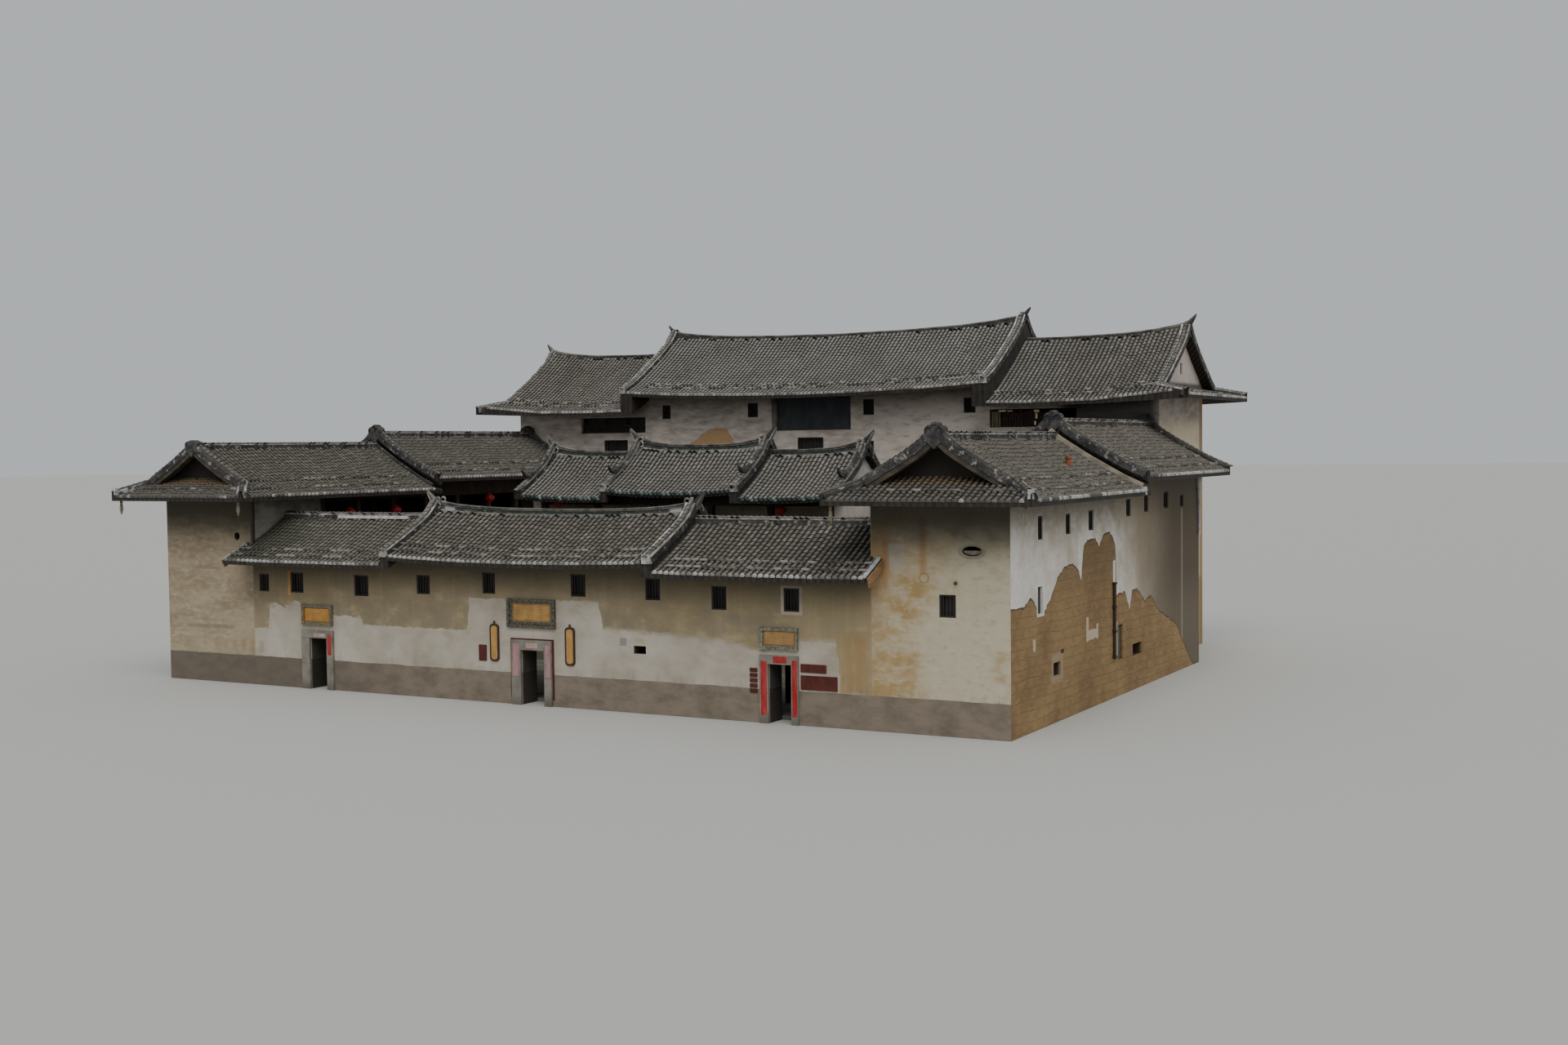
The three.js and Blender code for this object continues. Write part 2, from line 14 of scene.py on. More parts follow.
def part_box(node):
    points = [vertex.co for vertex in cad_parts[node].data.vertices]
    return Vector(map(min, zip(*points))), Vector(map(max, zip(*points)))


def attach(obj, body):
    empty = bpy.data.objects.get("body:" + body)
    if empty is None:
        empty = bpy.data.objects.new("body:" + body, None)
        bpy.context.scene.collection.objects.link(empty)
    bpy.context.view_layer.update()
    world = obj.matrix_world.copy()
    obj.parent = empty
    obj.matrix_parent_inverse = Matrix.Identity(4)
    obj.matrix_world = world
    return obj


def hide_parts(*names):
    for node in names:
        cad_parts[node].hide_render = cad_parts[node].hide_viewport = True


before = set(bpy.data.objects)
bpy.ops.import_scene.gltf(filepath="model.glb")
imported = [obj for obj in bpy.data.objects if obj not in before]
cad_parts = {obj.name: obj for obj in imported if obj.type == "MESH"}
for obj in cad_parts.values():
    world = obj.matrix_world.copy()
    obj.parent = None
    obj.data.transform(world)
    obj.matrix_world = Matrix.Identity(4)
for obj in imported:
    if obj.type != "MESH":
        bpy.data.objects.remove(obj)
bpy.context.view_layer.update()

# The house stands at half size, with the foot of its front wall along one line. The
# view is that of somebody on the slope across the way, to the right of the entrance
# and a little above the lower eaves.
half_size = 0.5
front_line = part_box("hall_front_wall_centre")[0].y


def at(x, y, z):
    """A point of the model, from metres of the real house behind the foot of the front wall."""
    return Vector((x * half_size, front_line + y * half_size, z * half_size))


swing, dip, tilt = (math.radians(angle) for angle in (28.696, 2.497, 0.665))
ahead = Vector((-math.sin(swing) * math.cos(dip), math.cos(swing) * math.cos(dip), -math.sin(dip)))
level_right = Vector((math.cos(swing), math.sin(swing), 0))
level_up = level_right.cross(ahead)
right = level_right * math.cos(tilt) - level_up * math.sin(tilt)
up = level_right * math.sin(tilt) + level_up * math.cos(tilt)
focal_pixels, image_wide, sensor_wide = 2116.2, 1920, 36.0
camera = bpy.data.objects.new("camera", bpy.data.cameras.new("camera"))
camera.data.sensor_width = sensor_wide
camera.data.lens = sensor_wide * focal_pixels / image_wide
camera.data.clip_end = 500
camera.matrix_world = Matrix.Translation(at(47.501, -62.786, 11.544)) @ Matrix(
    (right, up, -ahead)
).transposed().to_4x4()
bpy.context.scene.collection.objects.link(camera)
bpy.context.scene.camera = camera


def linear(code):
    """A colour code such as 8c7f66, as the numbers that a shader socket takes."""
    parts = [int(code[i:i + 2], 16) / 255 for i in (0, 2, 4)]
    return tuple(p / 12.92 if p < 0.04045 else ((p + 0.055) / 1.055) ** 2.4 for p in parts) + (1,)


# An overcast day: a pale even sky, one very wide soft light from the front right,
# and a plain pale floor.
sky = bpy.data.worlds.new("sky")
sky.use_nodes = True
sky.node_tree.nodes["Background"].inputs["Color"].default_value = linear("d5dade")
sky.node_tree.nodes["Background"].inputs["Strength"].default_value = 0.78
bpy.context.scene.world = sky
daylight = bpy.data.objects.new("daylight", bpy.data.lights.new("daylight", "SUN"))
daylight.data.energy = 1.9
daylight.data.angle = math.radians(50)
daylight.rotation_euler = Vector((0.42, -0.62, 1.0)).to_track_quat("Z", "Y").to_euler()
bpy.context.scene.collection.objects.link(daylight)


class Shade:
    """A value in a material's nodes. Sums and products of shades and numbers add Math nodes."""

    def __init__(self, socket):
        self.socket = socket

    def node(self, kind, settings, sockets, out=0):
        """A node of any kind: its settings first, then a value or a shade for each socket."""
        tree = self.socket.id_data
        node = tree.nodes.new("ShaderNode" + kind)
        for name, value in settings.items():
            if name == "stops":
                while len(node.color_ramp.elements) < len(value):
                    node.color_ramp.elements.new(0.5)
                for stop, (place, colour) in zip(node.color_ramp.elements, value):
                    stop.position, stop.color = place, colour
            else:
                setattr(node, name, value)
        for name, value in sockets.items():
            if isinstance(value, Shade):
                tree.links.new(value.socket, node.inputs[name])
            else:
                node.inputs[name].default_value = value
        return Shade(node.outputs[out])

    def math(self, operation, first, second=0.0):
        return self.node("Math", {"operation": operation}, {0: first, 1: second})

    def __add__(self, other):
        return self.math("ADD", self, other)

    def __sub__(self, other):
        return self.math("SUBTRACT", self, other)

    def __rsub__(self, other):
        return self.math("SUBTRACT", other, self)

    def __mul__(self, other):
        return self.math("MULTIPLY", self, other)

    __radd__ = __add__
    __rmul__ = __mul__

    def size(self):
        return self.math("ABSOLUTE", self)

    def root(self):
        return self.math("SQRT", self)

    def wave(self, length):
        """A sine wave that repeats after a length."""
        return self.math("SINE", self * (2 * math.pi / length))

    def either(self, other):
        return self.math("MAXIMUM", self, other)

    def fade(self, low, high):
        """Goes smoothly from 0 at low to 1 at high, or the other way round where low is the larger."""
        limits = {"Value": self, "From Min": low, "From Max": high}
        return self.node("MapRange", {"interpolation_type": "SMOOTHSTEP"}, limits)

    def within(self, low, high, soft=0.03):
        return self.fade(low - soft, low + soft) * self.fade(high + soft, high - soft)

    def mix(self, first, second):
        """From the first colour to the second as this goes from 0 to 1."""
        colours = [linear(c) if isinstance(c, str) else c for c in (first, second)]
        return self.node("Mix", {"data_type": "RGBA"}, {0: self, 6: colours[0], 7: colours[1]}, out=2)

    def noise(self, grain, stretch=(1, 1, 1), detail=4.0, rough=0.55):
        """Noise whose patches are about `grain` metres across, longer where stretch is below 1."""
        spread = self.node("VectorMath", {"operation": "MULTIPLY"}, {0: self, 1: stretch})
        return self.node("TexNoise", {}, {"Vector": spread, "Scale": 1 / grain, "Detail": detail,
                                          "Roughness": rough})

    def parts(self):
        split = self.node("SeparateXYZ", {}, {"Vector": self})
        return [Shade(s) for s in split.socket.node.outputs]

    def tint(self):
        """The random value that each laid piece carries, from 0 to 1."""
        return self.node("Attribute", {"attribute_name": "tint"}, {}, "Fac")

    def facing_up(self):
        """How far the surface faces up, from -1 to 1."""
        return self.node("NewGeometry", {}, {}, "Normal").parts()[2]

    def along(self, points, low, high):
        """A line through points (place, value), read at this place; the values lie between low and high."""
        first, last = points[0][0], points[-1][0]
        share = self.node("MapRange", {}, {"Value": self, "From Min": first, "From Max": last})
        stops = [((p - first) / (last - first), ((v - low) / (high - low),) * 3 + (1,)) for p, v in points]
        return share.node("ValToRGB", {"stops": stops}, {"Fac": share}) * (high - low) + low


def finish(name, look, real_size=True):
    """A material from look(place), which gives a colour, a roughness, a relief and its depth in metres."""
    made = bpy.data.materials.new(name)
    made.use_nodes = True
    surface = made.node_tree.nodes["Principled BSDF"]
    place = Shade(made.node_tree.nodes.new("ShaderNodeTexCoord").outputs["Object"])
    if real_size:
        shift = {0: place, 1: (1 / half_size,) * 3, 2: (0, -front_line / half_size, 0)}
        place = place.node("VectorMath", {"operation": "MULTIPLY_ADD"}, shift)
    colour, roughness, relief, depth = look(place)
    for socket, value in (("Base Color", colour), ("Roughness", roughness)):
        if isinstance(value, Shade):
            made.node_tree.links.new(value.socket, surface.inputs[socket])
        else:
            surface.inputs[socket].default_value = linear(value) if isinstance(value, str) else value
    if relief is not None:
        bump = place.node("Bump", {}, {"Height": relief, "Distance": depth * half_size, "Strength": 1.0})
        made.node_tree.links.new(bump.socket, surface.inputs["Normal"])
    return made


# The floor is no part of the house: a plain pale plate just under it, far wider than the
# camera's view.
floor_mesh = bpy.data.meshes.new("floor")
floor_wide, floor_drop = 400, 0.004
floor_corners = [(x * floor_wide, y * floor_wide, -floor_drop)
                 for x, y in ((-1, -1), (1, -1), (1, 1), (-1, 1))]
floor_mesh.from_pydata(floor_corners, [], [(0, 1, 2, 3)])
floor = bpy.data.objects.new("floor", floor_mesh)
floor_mesh.materials.append(finish("pale_floor", lambda place: ("b9b7b1", 0.9, None, 0)))
bpy.context.scene.collection.objects.link(floor)


# Side walls: white lime plaster over rammed earth. On the right the plaster has come off
# the lower part in one ragged sheet, and the bare ochre earth shows the lines of its lifts.
bare_top = [(0.14, 5.15), (1.45, 5.09), (2.3, 5.44), (2.8, 5.01), (3.39, 4.65), (3.78, 4.7),
            (4.57, 5.25), (5.31, 5.95), (6.24, 6.41), (7.19, 6.45), (7.96, 6.21), (8.35, 5.6),
            (8.48, 6.5), (8.64, 7.08), (9.17, 7.37), (10.19, 7.41), (10.75, 7.0), (11.05, 7.25),
            (11.5, 7.56), (12.2, 7.6), (12.73, 7.3),
            (13.07, 6.89), (13.15, 6.2), (13.14, 4.66), (14.48, 4.72), (15.16, 3.79),
            (15.54, 4.71), (16.34, 4.72), (17.53, 4.05), (18.51, 4.23), (19.76, 3.42), (23.73, 2.2)]
lift_high = 0.42
# The last of these is the near-black colour of painted shade on the walls' inner faces, openings and slots.
wall_face, outer_face, deep_shade = 23.1, 23.05, "241f19"


def coat(look, *nodes):
    """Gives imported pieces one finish."""
    for node in nodes:
        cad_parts[node].data.materials.clear()
        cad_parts[node].data.materials.append(look)


def patches_at(across, z, boxes, soft=0.02):
    """1 inside any of the boxes (left, right, low, high) on a wall, and 0 outside."""
    whole = None
    for left, far, low, high in boxes:
        patch = across.within(left, far, soft) * z.within(low, high, soft)
        whole = patch if whole is None else whole.either(patch)
    return whole


def side_wall_look(place):
    """The colour and the relief of a side wall."""
    x, y, z = place.parts()
    right_side = x.fade(0.0, 0.1)
    cloud = place.noise(2.2, detail=6)
    mottle = place.noise(0.5, (1, 1, 2.0), detail=6, rough=0.65)
    grain = place.noise(0.05, detail=3)
    streak = place.noise(0.3, (1, 1, 0.06), detail=5, rough=0.6)
    ragged = place.noise(0.35, detail=5) - 0.5

    white = (cloud * 0.7 + mottle * 0.3).fade(0.35, 0.7).mix("eae5dd", "cfc7ba")
    drawn_damp = (cloud + z.fade(6.0, 9.0) * 0.25).fade(0.45, 0.85) * z.fade(4.0, 8.0)
    white = (drawn_damp * 0.5).mix(white, "a8987c")
    trickles = patches_at(y, z, ((6.6, 7.1, 6.2, 7.6), (7.6, 7.9, 6.2, 8.4), (9.9, 10.1, 6.8, 8.6)), 0.25)
    white = (trickles * streak.fade(0.3, 0.6) * right_side * 0.35).mix(white, "9a8358")
    # Darker and browner towards the rear and upwards.
    darker_to_rear = (y + (cloud - 0.5) * 2.5 + (z - 6.0) * 0.5).fade(11.5, 18.0)
    white = (darker_to_rear * 0.9).mix(white, "8a7b64")
    white = (darker_to_rear * (mottle * 0.6 + streak * 0.4).fade(0.4, 0.62) * 0.35).mix(white, "a3957f")
    shaded = (y + (cloud - 0.5) * 2.0).fade(15.5, 23.0) * (z.fade(2.5, 5.5) * 0.2 + 0.75)
    white = shaded.mix(white, "534738")
    pale_line = y.within(23.75, 24.05, 0.06) * z.fade(8.3, 8.1) * right_side
    white = (pale_line * 0.4).mix(white, "a39a8c")
    # Painted shade under the eaves, darkening the top of the wall and reaching lower where the higher rear
    # roof begins.
    side_eave_shade = (z + (mottle - 0.5) * 0.9 - y.fade(12.5, 13.3) * 0.4).fade(7.4, 9.3)
    white = (side_eave_shade * 0.8).mix(white, "5b5548")

    ragged_edge = y.along(bare_top, 0, 8) + ragged * 0.35
    plain_edge = 1.2 + (cloud - 0.5) * 3.0 + ragged * 0.8
    edge = right_side * (ragged_edge - plain_edge) + plain_edge
    edge = edge * (1 - y.fade(22.5, 26.5))
    bare = (edge - z).fade(-0.012, 0.012) * z.fade(-0.2, -0.1)
    remnants = patches_at(y, z + ragged * 0.15, (
        (9.0, 9.3, 2.95, 4.0), (9.25, 10.6, 2.98, 3.4), (10.35, 10.6, 2.95, 3.6),
        (2.45, 2.75, 3.2, 3.72), (13.15, 13.32, 1.8, 3.4), (12.72, 13.06, 5.25, 6.25)), 0.03)
    surround = patches_at(y, z, ((2.9, 3.78, 4.56, 5.9),))
    bare = bare * (1 - remnants.either(surround) * right_side)

    course = z + y * 0.012 + (mottle - 0.5) * 0.14 + (cloud - 0.5) * 0.35
    line = course.wave(lift_high).fade(0.88, 1.0) * mottle.fade(0.42, 0.56)
    earth = (cloud * 0.6 + mottle * 0.5).fade(0.35, 0.75).mix("7a603e", "9b7f55")
    earth = (line * 0.4).mix(earth, "4d3b24")
    earth = ((mottle * 0.5 + grain * 0.5).fade(0.42, 0.34) * 0.5).mix(earth, "5c4830")
    earth = (z.fade(4.0, 6.5) * 0.3).mix(earth, "5f4d37")
    render_patch = patches_at(y, z + ragged * 0.2, ((4.6, 6.0, 1.65, 2.85),), 0.05)
    earth = (render_patch * right_side * 0.6).mix(earth, "a28f7a")
    # The putlog holes are darkened: painted shade in the holes.
    holes = place.noise(0.11, (1, 1, 1.8), detail=2).fade(0.7, 0.74) * y.fade(5.5, 0.5)
    earth = holes.mix(earth, "3f3120")
    # A thin painted shadow under the broken edge of the plaster, where it meets the bare earth.
    rim = (edge - z).within(0.0, 0.06, 0.015)
    colour = bare.mix(white, earth)
    remnant_tone = (y.fade(12.5, 12.6) * z.fade(5.0, 5.1)).mix("b8a488", "d8d2c8")
    colour = (remnants * right_side * 0.9).mix(colour, remnant_tone)
    colour = (rim * bare * 0.75).mix(colour, "3a2f22")
    # Painted shade: a small slot in the right side wall is darkened almost to black.
    slot_shade = patches_at(y, z, ((5.72, 6.12, 2.8, 2.97),))
    colour = (slot_shade * right_side * 0.9).mix(colour, deep_shade)
    relief = grain * 0.2 + mottle * 0.3 - bare * 0.9 - line * bare * 0.25 - holes * 0.3
    return colour, relief


def side_plaster(place):
    x, y, z = place.parts()
    colour, relief = side_wall_look(place)
    back_face = x.size().fade(20.9, 21.1) * y.fade(25.9, 25.95)
    # Painted shade: the side walls' inner faces are darkened almost to black, all but one lit jamb.
    inner = x.size().fade(outer_face, outer_face - 0.1) * (1 - back_face)
    lit_jamb = patches_at(y, z, ((3.5, 3.7, 4.6, 5.9),)) * x.fade(22.84, 22.87)
    return (inner * (1 - lit_jamb) * 0.85).mix(colour, deep_shade), 0.92, relief, 0.035


coat(finish("side_plaster", side_plaster), "left_wing_side_wall", "right_wing_side_wall")


# Front walls of rammed earth under lime plaster. Rain has washed the upper plaster to
# ochre and grey streaks, the lower part was limed again in sheets round the doors, and
# a skirt of grey cement runs along the foot.
lime_top = [(-17.2, 2.85), (-16.12, 2.85), (-16.1, 4.0), (-15.72, 4.14), (-15.03, 3.94), (-14.39, 4.26),
            (-14.07, 4.31), (-13.82, 3.9), (-11.8, 3.65), (-9.98, 3.64), (-9.94, 3.26), (-3.62, 3.26),
            (-3.6, 4.78), (3.8, 4.82), (3.82, 3.63), (5.3, 3.6), (10.2, 3.4), (11.9, 3.0), (13.8, 3.53),
            (15.58, 3.6), (15.6, 1.4), (17.2, 1.4)]
wing_inner, stone_line = 17.1, 1.44


def front_plaster(place):
    x, y, z = place.parts()
    cloud = place.noise(2.4, detail=6)
    drift = place.noise(1.1, (1, 1, 1.7), detail=7, rough=0.6)
    mottle = place.noise(0.45, (1, 1, 2.2), detail=6, rough=0.65)
    grain = place.noise(0.06, detail=3)
    streak = place.noise(0.3, (1, 1, 0.06), detail=5, rough=0.6)
    wide_streak = place.noise(1.2, (1, 1, 0.12), detail=3)
    wing = x.size().fade(wing_inner - 0.05, wing_inner + 0.05)
    right_wing = x.fade(wing_inner - 0.05, wing_inner + 0.05)

    hall = (cloud * 0.7 + drift * 0.5 - 0.1).fade(0.35, 0.68).mix("857a63", "a08e6c")
    hall = ((streak * wide_streak).fade(0.24, 0.44) * 0.25).mix(hall, "b0a58d")
    hall = ((mottle * 0.6 + drift * 0.4).fade(0.5, 0.66) * 0.35).mix(hall, "776a50")
    hall = ((1 - streak).fade(0.45, 0.75) * x.fade(13.0, 15.0) * 0.25).mix(hall, "8a7550")
    hall = (x.fade(12.0, 14.5) * 0.4).mix(hall, "ae9b75")
    hall = (x.fade(-9.0, -14.0) * z.fade(3.6, 4.6) * 0.45).mix(hall, "6f5f45")
    hall = (drift.fade(0.52, 0.7) * z.fade(6.0, 4.0) * 0.6).mix(hall, "ad9f82")
    band = place.noise(1.4, (0.5, 0.5, 2.0), detail=5, rough=0.5)
    left_wall = (band * 0.6 + mottle * 0.5).fade(0.38, 0.7).mix("8d7c63", "ab9b82")
    left_wall = ((mottle * 0.7 + drift * 0.3).fade(0.5, 0.62) * 0.4).mix(left_wall, "b5ad9e")
    left_wall = (band.fade(0.5, 0.68) * z.fade(3.5, 6.0) * 0.2).mix(left_wall, "8f7c5f")
    left_wall = ((cloud - 0.4).fade(0.0, 0.3) * z.fade(5.5, 3.0) * 0.7).mix(left_wall, "ada083")
    bar = patches_at(x, z + (band - 0.5) * 0.15, ((-21.9, -18.5, 2.72, 2.9),), 0.08)
    left_wall = (bar * 0.45).mix(left_wall, "6b6250")
    right_wall = (cloud * 0.8 + drift * 0.5 + x.fade(17.5, 22.8) * 0.3 - 0.15).fade(0.35, 0.75).mix(
        "a88c5c", "beb49b")
    right_wall = (drift.fade(0.46, 0.66) * z.fade(4.4, 6.6) * 0.4).mix(right_wall, "9d9072")
    right_wall = ((mottle * 0.5 + drift * 0.5).fade(0.48, 0.62) * 0.4).mix(right_wall, "c9c0ac")
    right_wall = ((cloud * 0.6 + drift * 0.4).fade(0.48, 0.36) * 0.5).mix(right_wall, "a3875a")
    wisp = place.noise(0.5, (1, 1, 2.0), detail=7, rough=0.7)
    right_wall = (wisp.fade(0.5, 0.6) * 0.35).mix(right_wall, "c6bca6")
    right_wall = (wisp.fade(0.46, 0.38) * 0.35).mix(right_wall, "a08a60")
    rust = mottle * 0.5 + cloud * 0.5 + x.fade(19.6, 17.3) * 0.3 + z.within(5.6, 8.2, 0.8) * 0.1
    right_wall = (rust.fade(0.76, 0.95) * 0.5).mix(right_wall, "9c7850")
    trickle = patches_at(x, z, ((19.25, 19.55, 6.4, 8.7), (17.6, 17.85, 5.8, 7.8)), 0.15)
    right_wall = (trickle * streak.fade(0.25, 0.5) * 0.65).mix(right_wall, "a57342")
    ring_x, ring_z = x - 19.45, z - 6.28
    ring = (ring_x * ring_x + ring_z * ring_z).root()
    right_wall = (ring.within(0.17, 0.21, 0.03) * 0.85).mix(right_wall, "8a6238")
    vent_x, vent_z = (x - 21.505) * (1 / 0.43), (z - 7.36) * (1 / 0.21)
    vent_ring = (vent_x * vent_x + vent_z * vent_z).within(0.8, 1.9, 0.3)
    right_wall = (vent_ring * 0.6).mix(right_wall, "867b69")
    # A small hole in the right wing's wall with a paler ring round it; its dark centre is painted shade in
    # the hole.
    hole_x, hole_z = x - 20.8, z - 6.1
    hole = hole_x * hole_x + hole_z * hole_z
    right_wall = (hole.fade(0.02, 0.012) * 0.7).mix(right_wall, "8d8066")
    right_wall = (hole.fade(0.006, 0.004) * 0.9).mix(right_wall, "2a241c")
    wings = right_wing.mix(left_wall, right_wall)
    aged = wing.mix(hall, wings)
    stain = x.within(-17.6, -16.3, 0.3) * z.fade(3.9, 4.6) * (0.6 + streak * 0.5)
    aged = (stain * 0.4).mix(aged, "5e5645")
    ochre_run = x.within(15.5, 17.0, 0.15) * z.fade(4.2, 3.6) * streak.fade(0.35, 0.6)
    aged = (ochre_run * 0.6).mix(aged, "9a7a48")

    edge = (x + (drift - 0.5) * 0.5).along(lime_top, 0, 5) + (mottle - 0.5) * 0.5
    vague = x.fade(2.0, 4.0) * 0.12 + 0.03
    lime = (edge - z).fade(0 - vague, vague) * (1 - wing)
    shut_window = (17.92, 18.54, 6.55, 7.65)
    patches = patches_at(x, z, (shut_window, (12.93, 13.07, 4.6, 5.8), (13.8, 13.95, 4.6, 5.8),
                                (12.93, 13.95, 5.7, 5.82), (12.93, 13.95, 4.58, 4.72)))
    limed = (cloud * 0.8 + drift * 0.4).fade(0.4, 0.8).mix("c4bbad", "a39989")
    limed = (drift.fade(0.55, 0.66) * z.fade(2.2, 3.4) * 0.5).mix(limed, "a58f68")
    colour = (lime * 0.93).either(patches * 0.85).mix(aged, limed)
    colour = (patches_at(x, z, (shut_window,)) * 0.85).mix(colour, "b2a997")
    lit_jamb = patches_at(x, z, ((-14.78, -14.62, 4.55, 5.75),))
    colour = (lit_jamb * 0.8).mix(colour, "c98a4a")
    metal_box = patches_at(x, z, ((4.85, 5.2, 2.92, 3.26),), 0.015)
    colour = (metal_box * 0.8).mix(colour, "84827c")
    rubs = [(-19.9 + i * 0.62, -19.6 + i * 0.62, 1.65, 2.2) for i in range(6)]
    rubbed = patches_at(x, z + (drift - 0.5) * 0.3, rubs, 0.08)
    colour = (rubbed * 0.3).mix(colour, "8f6f40")

    drip = (streak + z.fade(2.2, 1.4) * 0.2).fade(0.62, 0.85) * z.fade(2.6, 1.5) * 0.28
    colour = drip.mix(colour, "7d7568")
    hall_shade = (z + (drift - 0.5) * 0.8).fade(4.7, 6.2) * (1 - wing)
    wing_shade = (z + (drift - 0.5) * 1.2).fade(6.3, 8.7) * wing
    shade = (hall_shade * 0.75).either(wing_shade * 0.93)
    colour = shade.mix(colour, "38352b")
    skirt = (stone_line + (place.noise(1.5) - 0.5) * 0.12 - z).fade(-0.012, 0.012)
    cement = (drift * 0.8 + mottle * 0.3).fade(0.4, 0.75).mix("857869", "6c6253")
    cement = (x.fade(-4.0, -16.0) * 0.6).mix(cement, "5b5349")
    colour = skirt.mix(colour, cement)
    smooth_left = x.fade(-wing_inner, -wing_inner - 0.1)
    relief = mottle * (0.45 - smooth_left * 0.3) + grain * 0.25 + lime.either(patches) * 0.35 + skirt * 0.6

    side_colour, side_relief = side_wall_look(place)
    at_side = x.size().fade(outer_face, outer_face + 0.03) * y.fade(0.0, 0.02)
    colour = at_side.mix(colour, side_colour)
    relief = relief * (1 - at_side) + side_relief * at_side
    masonry = x.size().fade(17.13, 17.11) * x.size().fade(17.07, 17.09) * y.fade(0.02, 0.05)
    # Painted shade: the faces behind the front, in the openings, and the tops of the wings' walls under the
    # roof are darkened almost to black.
    inside = (y.fade(0.03, 0.08) * (1 - at_side) * (1 - masonry)).either(z.fade(9.45, 9.7) * wing)
    colour = masonry.mix(colour, drift.fade(0.35, 0.65).mix("8c877b", "6b665a"))
    return (inside * 0.9).mix(colour, deep_shade), 0.92, relief, 0.03


coat(finish("front_plaster", front_plaster), "hall_front_wall_left", "hall_front_wall_centre",
     "hall_front_wall_right", "left_wing_front_wall", "right_wing_front_wall")


# Walls of the rear building: grey lime wash over earth, mottled in level bands where damp
# draws through. One patch is bare, and the eaves keep the top of the walls in shade.
rear_front, rear_back = 27.1, 35.6


def rear_plaster(place):
    x, y, z = place.parts()
    cloud = place.noise(2.6, (1, 1, 1.3), detail=6)
    band = place.noise(0.9, (0.6, 0.6, 2.4), detail=7, rough=0.62)
    grain = place.noise(0.07, detail=3)
    streak = place.noise(0.3, (1, 1, 0.05), detail=4)
    colour = (cloud * 0.5 + band * 0.6).fade(0.4, 0.74).mix("c9bdb3", "a4998f")
    colour = (x.fade(1.0, 7.0) * x.fade(13.0, 11.0) * 0.6).mix(colour, "d9cdc1")
    mottle = place.noise(0.45, (0.5, 0.5, 1.5), detail=6, rough=0.62)
    colour = (mottle.fade(0.5, 0.62) * 0.5).mix(colour, "d8cdbd")
    colour = (mottle.fade(0.48, 0.36) * 0.45).mix(colour, "8b7b68")
    colour = (streak.fade(0.62, 0.72) * 0.25).mix(colour, "bfb6aa")
    patch_top = [(-8.2, 11.85), (-7.7, 12.05), (-6.95, 12.55), (-6.6, 12.68), (-5.6, 12.68),
                 (-5.25, 12.2), (-5.1, 11.8)]
    patch = (x.along(patch_top, 11, 13) + (band - 0.5) * 0.25 - z).fade(-0.02, 0.03) * z.fade(11.2, 11.4)
    patch = patch * x.within(-8.2, -5.1, 0.05) * y.fade(rear_front + 0.2, rear_front + 0.1)
    colour = (patch * 0.85).mix(colour, "ad8555")
    end_wall = x.size().fade(20.9, 20.95)
    gable = end_wall * z.fade(14.7, 15.0)
    right_corner = x.within(15.5, 20.9, 0.5) * z.fade(11.0, 12.0)
    eave_shade = (z + (cloud - 0.5) * 1.0).fade(13.2, 14.9) * 0.6 + right_corner * 0.85
    colour = (eave_shade * (1 - gable)).mix(colour, "3b3834")
    colour = (gable * 0.8).mix(colour, "c8bbb0")
    colour = (end_wall * z.fade(13.2, 12.0) * cloud.fade(0.15, 0.5) * 0.9).mix(colour, "d8caab")
    bare_corner = y.fade(34.9, 35.0) * end_wall
    colour = (bare_corner * 0.85).mix(colour, "96744a")
    lower = (z + (cloud - 0.5) * 2.0).fade(4.2, 3.6) * y.fade(30, 31)
    colour = (lower * 0.7).mix(colour, "8a7048")
    return colour, 0.92, band * 0.5 + grain * 0.2 - patch * 0.8, 0.03


coat(finish("rear_plaster", rear_plaster), "rear_front_wall", "rear_back_wall", "rear_left_end_wall",
     "rear_right_end_wall")


# Walls of the middle hall: white lime on brick, grey with damp at the foot, and a band of
# purer white brushed along the gables under the verges.
def hall_lime(place):
    x, y, z = place.parts()
    cloud = place.noise(1.6, detail=6)
    streak = place.noise(0.3, (1, 1, 0.08), detail=5)
    from_ridge = (y - 15.1).size()
    under_roof = z + from_ridge * 0.6
    colour = (cloud * 0.7 + streak * 0.4).fade(0.4, 0.8).mix("d3cbbd", "a89e90")
    colour = under_roof.fade(10.35, 10.5).mix(colour, "cfccc4")
    colour = (z + (cloud - 0.5)).fade(2.4, 0.6).mix(colour, "6f695d")
    return colour, 0.9, cloud * 0.6 + place.noise(0.06) * 0.3, 0.02


coat(finish("hall_lime", hall_lime), "middle_hall_left_gable", "middle_hall_right_gable",
     "middle_hall_back_wall")


# Paving of the courtyards: granite slabs in courses, worn and damp along their joints.
def paving(place):
    x, y, z = place.parts()
    slabs = place.node("TexBrick", {"offset": 0.5}, {
        "Vector": place, "Scale": 1.0, "Mortar Size": 0.012, "Brick Width": 0.95, "Row Height": 0.48,
        "Color1": linear("7f7a70"), "Color2": linear("68645c"), "Mortar": linear("3c3a34")})
    cloud = place.noise(1.8, detail=6)
    colour = (cloud.fade(0.45, 0.7) * 0.5).mix(slabs, "57554a")
    joint = Shade(slabs.socket.node.outputs["Fac"])
    return colour, 0.8, place.noise(0.2, detail=5) * 0.4 - joint, 0.01


coat(finish("courtyard_paving", paving), "courtyard_floor")


# Timber fronts and floors of the galleries: fir posts, rails and boards, gone nearly
# black with age and smoke, with greyer edges where rain reaches.
board_wide = 0.24


